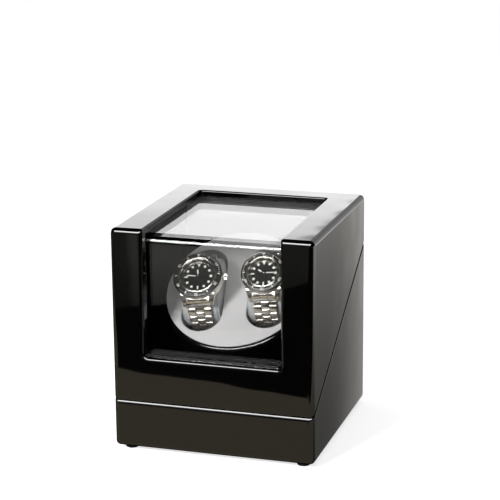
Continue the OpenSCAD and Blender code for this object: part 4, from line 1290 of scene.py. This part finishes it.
def hand(side, kind):
    """A hand: a metal blade with a pointed tip and a round hub, and for the hour and
    minute hands a strip of luminous paint 0.07 mm thick on it."""
    R = BEZEL_R[side]
    z, thick, length, w = {"hour": (8.45, 0.3, R*0.34, 1.9), "minute": (8.95, 0.3, R*0.52, 1.5),
                           "second": (9.45, 0.22, R*0.54, 0.45)}[kind]
    angle = HANDS[side][kind]
    eye, hole = arc(0, 0, 1.35, 0, 345, 24), arc(0, 0, 0.5, 0, 345, 24)
    n = len(eye)
    v = np.concatenate([np.column_stack([o, np.full(n, h)])
                        for h in (z, z + thick) for o in (eye, hole)])
    f = []
    for i in range(n):
        j = (i + 1) % n
        f += [[i, n + i, n + j, j], [2*n + i, 2*n + j, 3*n + j, 3*n + i],
              [i, j, 2*n + j, 2*n + i], [n + i, 3*n + i, 3*n + j, n + j]]
    blade = np.array([[-w*0.32, 1.2], [w*0.32, 1.2], [w/2, length*0.55], [w/2, length*0.82],
                      [0, length], [-w/2, length*0.82], [-w/2, length*0.55]])
    parts = [(turn_z(v, -math.radians(angle)), f), prism(turned(blade, angle), z, z + thick)]
    if kind == "second":
        tail = box_outline(0.7, -3.4, -1.1)
        dot = arc(0, length*0.68, 0.8, 0, 345, 20)
        parts += [prism(turned(tail, angle), z, z + thick), prism(turned(dot, angle), z, z + thick)]
    v, f = join(parts)
    body = f"{kind}_hand_{side}"
    metal_hand = piece(f"{kind}_hand_blade_{side}", on_head(v, side), f, body, polished_steel,
                       f"{kind}_hand_{side}", 30)
    if kind != "second":
        strip = np.array([[-w*0.22, 2.2], [w*0.22, 2.2], [w*0.33, length*0.55], [w*0.33, length*0.8],
                          [0, length*0.93], [-w*0.33, length*0.8], [-w*0.33, length*0.55]])
        v, f = prism(turned(strip, angle), z + thick, z + thick + 0.07)
        piece(f"{kind}_hand_lume_{side}", on_head(v, side), f, body, lume,
              f"{kind}_hand_{side}", 30)
    return metal_hand


print("hands at", HANDS)

# %% [markdown]
# ## Crowns
# A crown is turned and then fluted for grip. As with the bezels, the flutes are a wave
# in the turned radius, and they stop short of both ends.

# %% Crown
def crown(side):
    """A fluted crown on the x axis: its outside radius is 3 - 0.28 |sin(12 a)|^1.5."""
    R = BEZEL_R[side]
    profile = rounded([[0.01, -5.9], [0.78, -5.9], [0.78, 0.05], [2.6, 0.05], [3.0, 0.45], [3.0, 1.6],
                       [3.0, 2.9], [2.6, 3.45], [1.6, 3.6], [0.01, 3.6]], 0.15, 4)
    w = (profile[:, 0] > 2.85).astype(float)
    grid = revolve(profile, 144, lambda a, p: -0.28*np.abs(np.sin(12*a))**1.5*w[None, :])
    grid = np.stack([grid[..., 2] + R, grid[..., 1], -grid[..., 0] + 4.6], -1)
    verts, faces = shell([(on_head(grid, side), True, False)])
    return piece(f"fluted_crown_{side}", verts, faces, f"crown_{side}", polished_steel,
                 f"crown_{side}", 45)


print("crowns reach out to x =", {side: R + 3.6 for side, R in BEZEL_R.items()}, "mm")

# %% [markdown]
# ## Bracelets
# A steel bracelet has rows of three links, joined by pins. Links are laid along the
# closed loop round the pillow. An array modifier on a curve would squash them at the
# bends, so each link stays rigid and is placed by the arc length q from the top of the
# loop: it is turned by f = (q - 8.5)/path radius about the centre of the round end.

# %% Links along the loop
PATH_R, ROWS, ROW_S, ROW_P = 23.9, 7, 25.6, 7.15


def along_loop(p, q):
    """Moves points whose y runs along the loop and z outwards to arc length q."""
    f = (q - CORE_S/2)/PATH_R
    c, s = np.cos(f), np.sin(f)
    y, z = p[..., 1], p[..., 2] + PATH_R
    return np.stack([p[..., 0], c*y - s*z - CORE_S/2, s*y + c*z], -1)


def link_block(x, w, length, thick=3.2, swell=0.18):
    """A link as a loft across its width: its side view is the superellipse
    (cos^0.62 t, sin^0.62 t), its middle is thicker by `swell`, and its sides are
    chamfered by 0.25 mm."""
    t = np.linspace(0, 2*np.pi, 28, endpoint=False)
    ry, rz, power = length/2, thick/2, 0.62
    y = ry*np.sign(np.cos(t))*np.abs(np.cos(t))**power
    z = rz*np.sign(np.sin(t))*np.abs(np.sin(t))**power
    stations = [(-w/2, 0.25), (-w/2 + 0.22, 0.06), (-w/2 + 0.45, 0.0), (0.0, -swell),
                (w/2 - 0.45, 0.0), (w/2 - 0.22, 0.06), (w/2, 0.25)]
    return bar(np.stack([np.column_stack([np.full(len(t), x + dx), y*(1 - max(inset, 0)/ry),
                                          z*(1 - inset/rz)]) for dx, inset in stations]))


print("a link has", link_block(0, 7.0, 6.8).shape[:2], "stations and points")


# %% End links
def end_link(R, x0, x1):
    """One part of the three-part end link. Its inner edge follows the case's circle,
    y = -sqrt((R - 0.9)^2 - x^2), and its outside drops to meet the first row."""
    over = lambda y: math.sqrt((CORE_R + 0.5)**2 - (y - CORE_S/2)**2) - CORE_R
    x = np.array([x0, x0 + 0.15, x0 + 0.4, (x0 + x1)/2, x1 - 0.4, x1 - 0.15, x1])
    inset = np.array([0.25, 0.08, 0.0, 0.0, 0.0, 0.08, 0.25])
    rings = []
    for xi, e in zip(x, inset):
        yc = -math.sqrt((R - 0.9)**2 - xi**2)
        outline = [[yc, 6.3 - e], [yc - 0.6, 6.15 - e], [-R - 0.6, 4.9 - e], [-R - 1.7, 3.2 - e],
                   [-R - 2.5 + e, 1.0], [-R - 2.95 + e, -1.4], [-R - 2.95 + e, -3.2],
                   [-R - 2.3, -3.9 + e], [-R - 1.4, over(R + 1.4) + e], [yc, over(-yc) + e + 0.1]]
        loop = rounded(outline + outline[:1], 0.3, 3)[:-1]
        rings.append(np.column_stack([np.full(len(loop), xi), loop[:, 0], loop[:, 1] + CORE_R]))
    return bar(np.stack(rings))


print("end link", end_link(22.0, -3.5, 3.5).shape[:2], "stations and points")


# %% Rows of links
def row_w(k):
    """Width of row k: the bracelet tapers by 0.42 mm in each row."""
    return 20.4 - 0.42*k


def half_bracelet(side):
    """Outer links, middle links and the pins' strip of one half, running to -y. The strip is darker
    steel: painted shade in the gaps between the links.
    """
    R = BEZEL_R[side]
    outer, middle = [], []
    for k in range(ROWS):
        w = row_w(k)
        for s in (-1, 1):
            outer.append(along_loop(link_block(s*w*0.3375, w*0.325 - 0.12, ROW_P - 0.32),
                                    ROW_S + (k + 0.5)*ROW_P))
        middle.append(along_loop(link_block(0, w*0.345 - 0.12, ROW_P - 0.32), ROW_S + k*ROW_P))
    q = np.linspace(ROW_S - ROW_P/2, ROW_S + (ROWS - 0.1)*ROW_P, 60)
    w = np.interp(q, [ROW_S, ROW_S + ROWS*ROW_P], [row_w(0), row_w(ROWS)])/2 - 0.7
    rect = np.array([[-1, -0.8], [1, -0.8], [1, 0.5], [-1, 0.5]])
    strip = [along_loop(np.column_stack([rect[:, 0]*wi, np.zeros(4), rect[:, 1]]), qi)
             for wi, qi in zip(w, q)]
    outer += [end_link(R, -10.35, -3.62), end_link(R, 3.62, 10.35)]
    middle.append(end_link(R, -3.5, 3.5))
    return outer, middle, [bar(np.stack(strip))]


def both_halves(grids, side):
    """The grids and their mirror images across the loop's middle, as one mesh."""
    return shell([(on_loop(g*mirror, side), False, True)
                  for mirror in ([1, 1, 1], [1, -1, 1]) for g in grids])


def bracelet(side):
    """Three meshes: the outer rows, the middle row and the pins between them, whose darker steel is
    painted shade in the gaps.
    """
    kinds = zip(("outer_links", "middle_links", "link_pins"), half_bracelet(side),
                (brushed_steel, brushed_steel, gap_shade_steel))
    for tag, grids, look in kinds:
        verts, faces = both_halves(grids, side)
        links = piece(f"{tag}_{side}", verts, faces, f"watch_{side}", look, f"bracelet_{side}",
                      32)
    return links


print("each half has", ROWS, "rows, from", row_w(0), "to", round(row_w(ROWS), 2), "mm wide")


# %% Folding clasp
def clasp(side):
    """A folding clasp under the pillow: a curved plate of constant thickness between the
    radii r_in and r_out of the loop, eased by 0.35 mm at both ends."""
    r_in, r_out, half = CORE_R + 0.35, CORE_R + 3.75, 15.2
    rings = []
    for yi in np.linspace(-half, half, 41):
        over = max(abs(yi) - CORE_S/2, 0)
        low_in = -math.sqrt(max(r_in**2 - over**2, 0))
        low_out = -math.sqrt(max(r_out**2 - over**2, 0))
        e = 0.35*smooth_step(half - 0.6, half, abs(yi))
        ring = rounded([[-8.7, low_in], [8.7, low_in], [8.7, low_out + e], [0, low_out + e],
                        [-8.7, low_out + e], [-8.7, low_in]], 0.4, 4)[:-1]
        rings.append(np.column_stack([ring[:, 0], np.full(len(ring), yi), ring[:, 1]]))
    verts, faces = shell([(on_loop(bar(np.stack(rings)), side), False, True)])
    return piece(f"folding_clasp_{side}", verts, faces, f"watch_{side}", brushed_steel,
                 f"clasp_{side}", 35)


print("clasp from", CORE_R + 0.35, "to", CORE_R + 3.75, "mm below the loop's middle line")

# %% Both watches
for side, teeth, depth in (("left", 120, 0.42), ("right", 72, 0.3)):
    watch_case(side)
    bezel(side, teeth, depth)
    insert(side, side == "right")
    dial(side)
    crystal(side)
    for kind in ("hour", "minute", "second"):
        hand(side, kind)
    crown(side)
    bracelet(side)
    clasp(side)
    print(side, "watch: R", BEZEL_R[side], "teeth", teeth)

# %% [markdown]
# ## Feet
# Four rubber feet are moulded with a rounded foot edge, so they are turned from one
# profile and set 12 mm in from the case's sides.

# %% Feet
FOOT_AT = 78.0
foot = rounded([[0.01, 0.0], [4.6, 0.0], [5.3, 0.25], [5.9, 1.0], [6.0, 2.0], [6.0, FOOT],
                [0.01, FOOT]], 0.4, 4)
verts, faces = shell([(revolve(foot, 48) + [sx*FOOT_AT, sy*FOOT_AT, 0], True, False)
                      for sx in (-1, 1) for sy in (-1, 1)])
feet = piece("moulded_feet", verts, faces, "base", rubber, "rubber_feet", 40)
print("feet", len(feet.data.polygons), "faces")

# %% [markdown]
# ## Working parts
# Gears, shafts, screws, hinges and the controls were modelled exactly as solids, and a
# second model could only be worse. They keep their meshes and are given a finish each.

# %% Finishes on the exact solids
carried = {
    "base_floor": painted_mdf, "deck_battens": pine, "floor_screws": zinc_steel,
    "chassis_brackets": matt_nylon, "chassis_plate": matt_nylon, "chassis_screws": zinc_steel,
    "shaft_bush": brass, "gear_motor": motor_steel, "motor_screws": zinc_steel,
    "circuit_board": solder_mask, "control_plate": matt_nylon, "dc_jack": gloss_abs,
    "mode_knob": matt_nylon, "power_rocker": gloss_abs, "hinge_base_leaves": brass,
    "hinge_lid_leaves": brass, "hinge_pins": zinc_steel, "hinge_base_screws": brass,
    "hinge_lid_screws": brass, "lid_bumpers": bumper_clear, "drive_shaft": zinc_steel,
    "circlip": zinc_steel, "drive_gear": acetal, "motor_pinion": brass}
for name, look in carried.items():
    node = nodes[name]
    node.data.materials.clear()
    node.data.materials.append(look)
left_over = [n for n, o in nodes.items() if not o.hide_render and n not in carried]
print("dressed", len(carried), "exact solids; left plain:", left_over)

# %% [markdown]
# ## World
# The case stands on a white sweep. A single white world would fill the lacquer with
# white, so the world is split by the kind of ray: white for the camera, dim for diffuse
# light and nearly black for reflections, which the cards below then draw one by one.

# %% World
world = bpy.data.worlds.new("studio")
bpy.context.scene.world = world
world.use_nodes = True
tree = world.node_tree
tree.nodes.clear()
ray = add(tree, "ShaderNodeLightPath")
ambient = add(tree, "ShaderNodeBackground", Color=(1, 1, 1, 1), Strength=0.3)
white = add(tree, "ShaderNodeBackground", Color=(1, 1, 1, 1), Strength=1.0)
dark = add(tree, "ShaderNodeBackground", Color=(0.005, 0.005, 0.006, 1), Strength=1.0)
glossy = add(tree, "ShaderNodeMixShader", [(ray.outputs["Is Glossy Ray"], "Fac"),
                                           (ambient.outputs[0], 1), (dark.outputs[0], 2)])
seen = add(tree, "ShaderNodeMixShader", [(ray.outputs["Is Camera Ray"], "Fac"),
                                         (glossy.outputs[0], 1), (white.outputs[0], 2)])
add(tree, "ShaderNodeOutputWorld", [(seen.outputs[0], "Surface")])
print("world", world.name, "with", len(tree.nodes), "nodes")

# %% [markdown]
# ## Lamps
# A wide soft box overhead and a small key from the front left light the pillows and
# the steel. Both are hidden from reflections, where their edges would show as squares.

# %% Lamps
def lamp(name, size, energy, at, to):
    """An area lamp with its size in metres and its energy in watts, standing at one
    point and aimed at another."""
    light = bpy.data.lights.new(name, "AREA")
    light.shape, light.size, light.size_y = "RECTANGLE", size[0], size[1]
    light.energy = energy
    thing = bpy.data.objects.new(name, light)
    bpy.context.scene.collection.objects.link(thing)
    thing.rotation_euler = (Vector(to) - Vector(at)).to_track_quat("-Z", "Y").to_euler()
    thing.location = at
    thing.visible_glossy = thing.visible_transmission = False
    thing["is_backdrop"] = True
    return thing


lamp("overhead", (1.4, 1.2), 3, (-0.1, 0.1, 1.5), (0, 0, 0.1))
lamp("key", (0.35, 0.35), 19, (-0.47, -1.27, 0.83), (0, -0.03, 0.13))
print("lamps:", [light.name for light in bpy.data.lights])

# %% [markdown]
# ## Floor and cards
# Lacquer and acrylic show what stands round them, as a studio's boards do. So plain
# cards that only mirror-like surfaces can see stand in for a dark room with a white
# set behind. The floor itself is white paint, lifted for the camera so that it runs
# into the white world without a line.

# %% Floor and plain cards
WHITE = (1, 1, 1, 1)


def emit(name, strength, colour=WHITE):
    """A card's finish: plain light of one strength."""
    mat, tree = empty_material(name)
    glow = add(tree, "ShaderNodeEmission", Color=colour, Strength=strength)
    add(tree, "ShaderNodeOutputMaterial", [(glow.outputs[0], "Surface")])
    return mat


def sheet_at(name, corners, mat, glossy_only=True):
    """A flat sheet through corners in metres. With glossy_only, no ray but a mirror-like
    one sees it."""
    mesh = bpy.data.meshes.new(name)
    mesh.from_pydata([tuple(c) for c in corners], [], [tuple(range(len(corners)))])
    mesh.materials.append(mat)
    thing = bpy.data.objects.new(name, mesh)
    bpy.context.scene.collection.objects.link(thing)
    if glossy_only:
        thing.visible_camera = thing.visible_diffuse = thing.visible_shadow = False
        thing.visible_transmission = thing.visible_volume_scatter = False
    thing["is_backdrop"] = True
    return thing


floor_white, tree = empty_material("white_floor")
ray = add(tree, "ShaderNodeLightPath")
paint = add(tree, "ShaderNodeBsdfDiffuse", Color=(0.88, 0.88, 0.885, 1), Roughness=0.0)
boost = add(tree, "ShaderNodeEmission", Color=(1, 1, 1, 1), Strength=0.72)
both = add(tree, "ShaderNodeAddShader", [(paint.outputs[0], 0), (boost.outputs[0], 1)])
pick = add(tree, "ShaderNodeMixShader", [(ray.outputs["Is Camera Ray"], "Fac"),
                                         (paint.outputs[0], 1), (both.outputs[0], 2)])
add(tree, "ShaderNodeOutputMaterial", [(pick.outputs[0], "Surface")])
floor = sheet_at("floor", [(-4, -4, 0), (4, -4, 0), (4, 4, 0), (-4, 4, 0)], floor_white, False)
floor.visible_glossy = False
print("floor", floor.name, "under", floor.active_material.name)

# %% [markdown]
# ## Graded cards
# Real boards are lit unevenly, so their reflections fade from one end to the other. The
# side card is least bright next to the case: painted shade of the case on the floor. A
# texture image would do it, but a formula of place, built from math nodes, stays smooth and
# is easy to change. Three cards carry one.

# %% Cards with graded light
def graded(name, colour, strength):
    """A card whose light is worked out from its own x, y, z in metres:
    strength(x, y, z, op) builds the sum from math nodes with op(kind, a, b)."""
    mat, tree = empty_material(name)
    where = add(tree, "ShaderNodeTexCoord")
    axes = add(tree, "ShaderNodeSeparateXYZ", [(where.outputs["Object"], 0)])

    def op(kind, a, b):
        """One math node on two numbers or sockets."""
        node = add(tree, "ShaderNodeMath", operation=kind)
        for i, value in enumerate((a, b)):
            if isinstance(value, (int, float)):
                node.inputs[i].default_value = value
            else:
                tree.links.new(value, node.inputs[i])
        return node.outputs[0]

    glow = add(tree, "ShaderNodeEmission", [(strength(*axes.outputs, op), "Strength")], Color=colour)
    add(tree, "ShaderNodeOutputMaterial", [(glow.outputs[0], "Surface")])
    return mat


def side_light_and_shade(x, y, z, op):
    """Light and shade on the floor beside the case, as its lacquer shows it. It is least next
    to the case, painted shade of the case on the floor, and rises outwards and towards the back.
    With d = x - 0.09, the lacquer at depth v shows the floor along the line y = v + (3.938 + 2.828 v)
    d, and the light is 0.16 + 0.34 ((d - 0.013)/0.17)^1.5 + 0.5 ((v + 0.07)/0.145)^2.3."""
    d = op("SUBTRACT", x, 0.09)
    v = op("DIVIDE", op("SUBTRACT", y, op("MULTIPLY", d, 3.938)),
           op("ADD", op("MULTIPLY", d, 2.828), 1.0))
    far = op("POWER", op("MAXIMUM", op("DIVIDE", op("SUBTRACT", d, 0.013), 0.17), 0.0), 1.5)
    back = op("POWER", op("MAXIMUM", op("DIVIDE", op("ADD", v, 0.07), 0.145), 0.0), 2.3)
    total = op("ADD", op("MULTIPLY", far, 0.34), op("MULTIPLY", op("MINIMUM", back, 3.0), 0.5))
    return op("MINIMUM", op("ADD", total, 0.16), 2.0)


def back_fade(x, y, z, op):
    """Light of the back card: 3 low down, fading to 2.2 between z = 0.66 m and 0.82 m.
    With u = z + 0.9 (x + 0.45) it also falls to 0.3 of that from u = 0.73 to 0.76."""
    t = op("MINIMUM", op("MAXIMUM", op("DIVIDE", op("SUBTRACT", z, 0.66), 0.16), 0.0), 1.0)
    u = op("ADD", z, op("MULTIPLY", op("ADD", x, 0.45), 0.9))
    dim = op("MINIMUM", op("MAXIMUM", op("DIVIDE", op("SUBTRACT", u, 0.73), 0.03), 0.0), 1.0)
    return op("MULTIPLY", op("SUBTRACT", 3.0, op("MULTIPLY", t, 0.8)),
              op("SUBTRACT", 1.0, op("MULTIPLY", dim, 0.7)))


def grey_fade(x, y, z, op):
    """Light of the far grey floor: 0.2 at y = -0.48 m, rising to 0.46 at -0.72 m. It is
    0.4 of that outside the strip that the window mirrors, between the two lines
    x = -0.313 + 0.388 (y + 0.7) and x = -0.145 + 0.3 (y + 0.76)."""
    clamp = lambda v: op("MINIMUM", op("MAXIMUM", v, 0.0), 1.0)
    t = clamp(op("DIVIDE", op("ADD", y, 0.48), -0.24))
    left = op("SUBTRACT", op("ADD", x, 0.313), op("MULTIPLY", op("ADD", y, 0.7), 0.388))
    right = op("SUBTRACT", op("MULTIPLY", op("ADD", y, 0.76), 0.3), op("ADD", x, 0.145))
    strip = op("MULTIPLY", clamp(op("DIVIDE", left, 0.01)), clamp(op("DIVIDE", right, 0.01)))
    return op("MULTIPLY", op("ADD", op("MULTIPLY", t, 0.26), 0.2),
              op("ADD", op("MULTIPLY", strip, 0.6), 0.4))


print("graded cards follow", [f.__name__ for f in (side_light_and_shade, back_fade, grey_fade)])

# %% [markdown]
# ## Flag and cards in place
# One small flag, which no camera or mirror sees, throws a soft shade on the turntable's
# upper left. The cards on the floor lie 1 mm above it, and each has the outline that
# its reflection needs.

# %% Flag and cards in place
LIFT = 0.001


def lying(*corners):
    """Corners (x, y) of a card that lies just above the floor."""
    return [(x, y, LIFT) for x, y in corners]


def upright(y, x0, x1, z0, z1):
    """Corners of a card that stands across the view at y."""
    return [(x0, y, z0), (x1, y, z0), (x1, y, z1), (x0, y, z1)]


flag = sheet_at("flag", [(-0.1145, -0.145, 0.202), (0.007, -0.1315, 0.2405),
                         (0.007, -0.118, 0.317), (-0.146, -0.118, 0.317)], floor_white)
flag.visible_glossy = False
flag.visible_shadow = True
sheet_at("front_floor_card", lying((-0.9, -0.411), (0.9, -0.119), (0.9, -0.09), (-0.9, -0.09)),
         emit("card_front_floor", 0.62, (1, 0.88, 0.66, 1)))
sheet_at("grey_floor_card", lying((-2.2, -2.4), (1.2, -2.4), (1.2, -2.34), (0.3, -0.945),
                                  (-0.24, -0.479), (-2.2, 1.212)),
         graded("card_grey_floor", (1, 1, 0.93, 1), grey_fade))
# The side card's light is least next to the case: painted shade of the case on the floor.
sheet_at("side_floor_card", lying((0.09, -0.09), (1.6, -0.09), (1.6, 2.2), (0.09, 2.2)),
         graded("card_side_floor", (1, 0.975, 0.93, 1), side_light_and_shade))
sheet_at("back_card", upright(2.2, -2.2, 2.2, 0.0, 1.3), graded("card_back", WHITE, back_fade))
sheet_at("front_card", upright(-1.7, -1.3, 0.9, 0.64, 2.1), emit("card_front", 3.0))
sheet_at("soft_box_card", [(-0.75, -1.35, 0.86), (0.75, -1.35, 0.86), (0.75, -1.05, 1.25),
                           (-0.75, -1.05, 1.25)], emit("card_soft_box", 22.0))

# %% Bounds and finish
low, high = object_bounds()
({"cad": [list(map(float, cad_low)), list(map(float, cad_high))],
           "scene": [list(map(float, low)), list(map(float, high))]})
print("solids", cad_low, cad_high, "scene", low, high)
bpy.context.scene.view_settings.view_transform = "Standard"
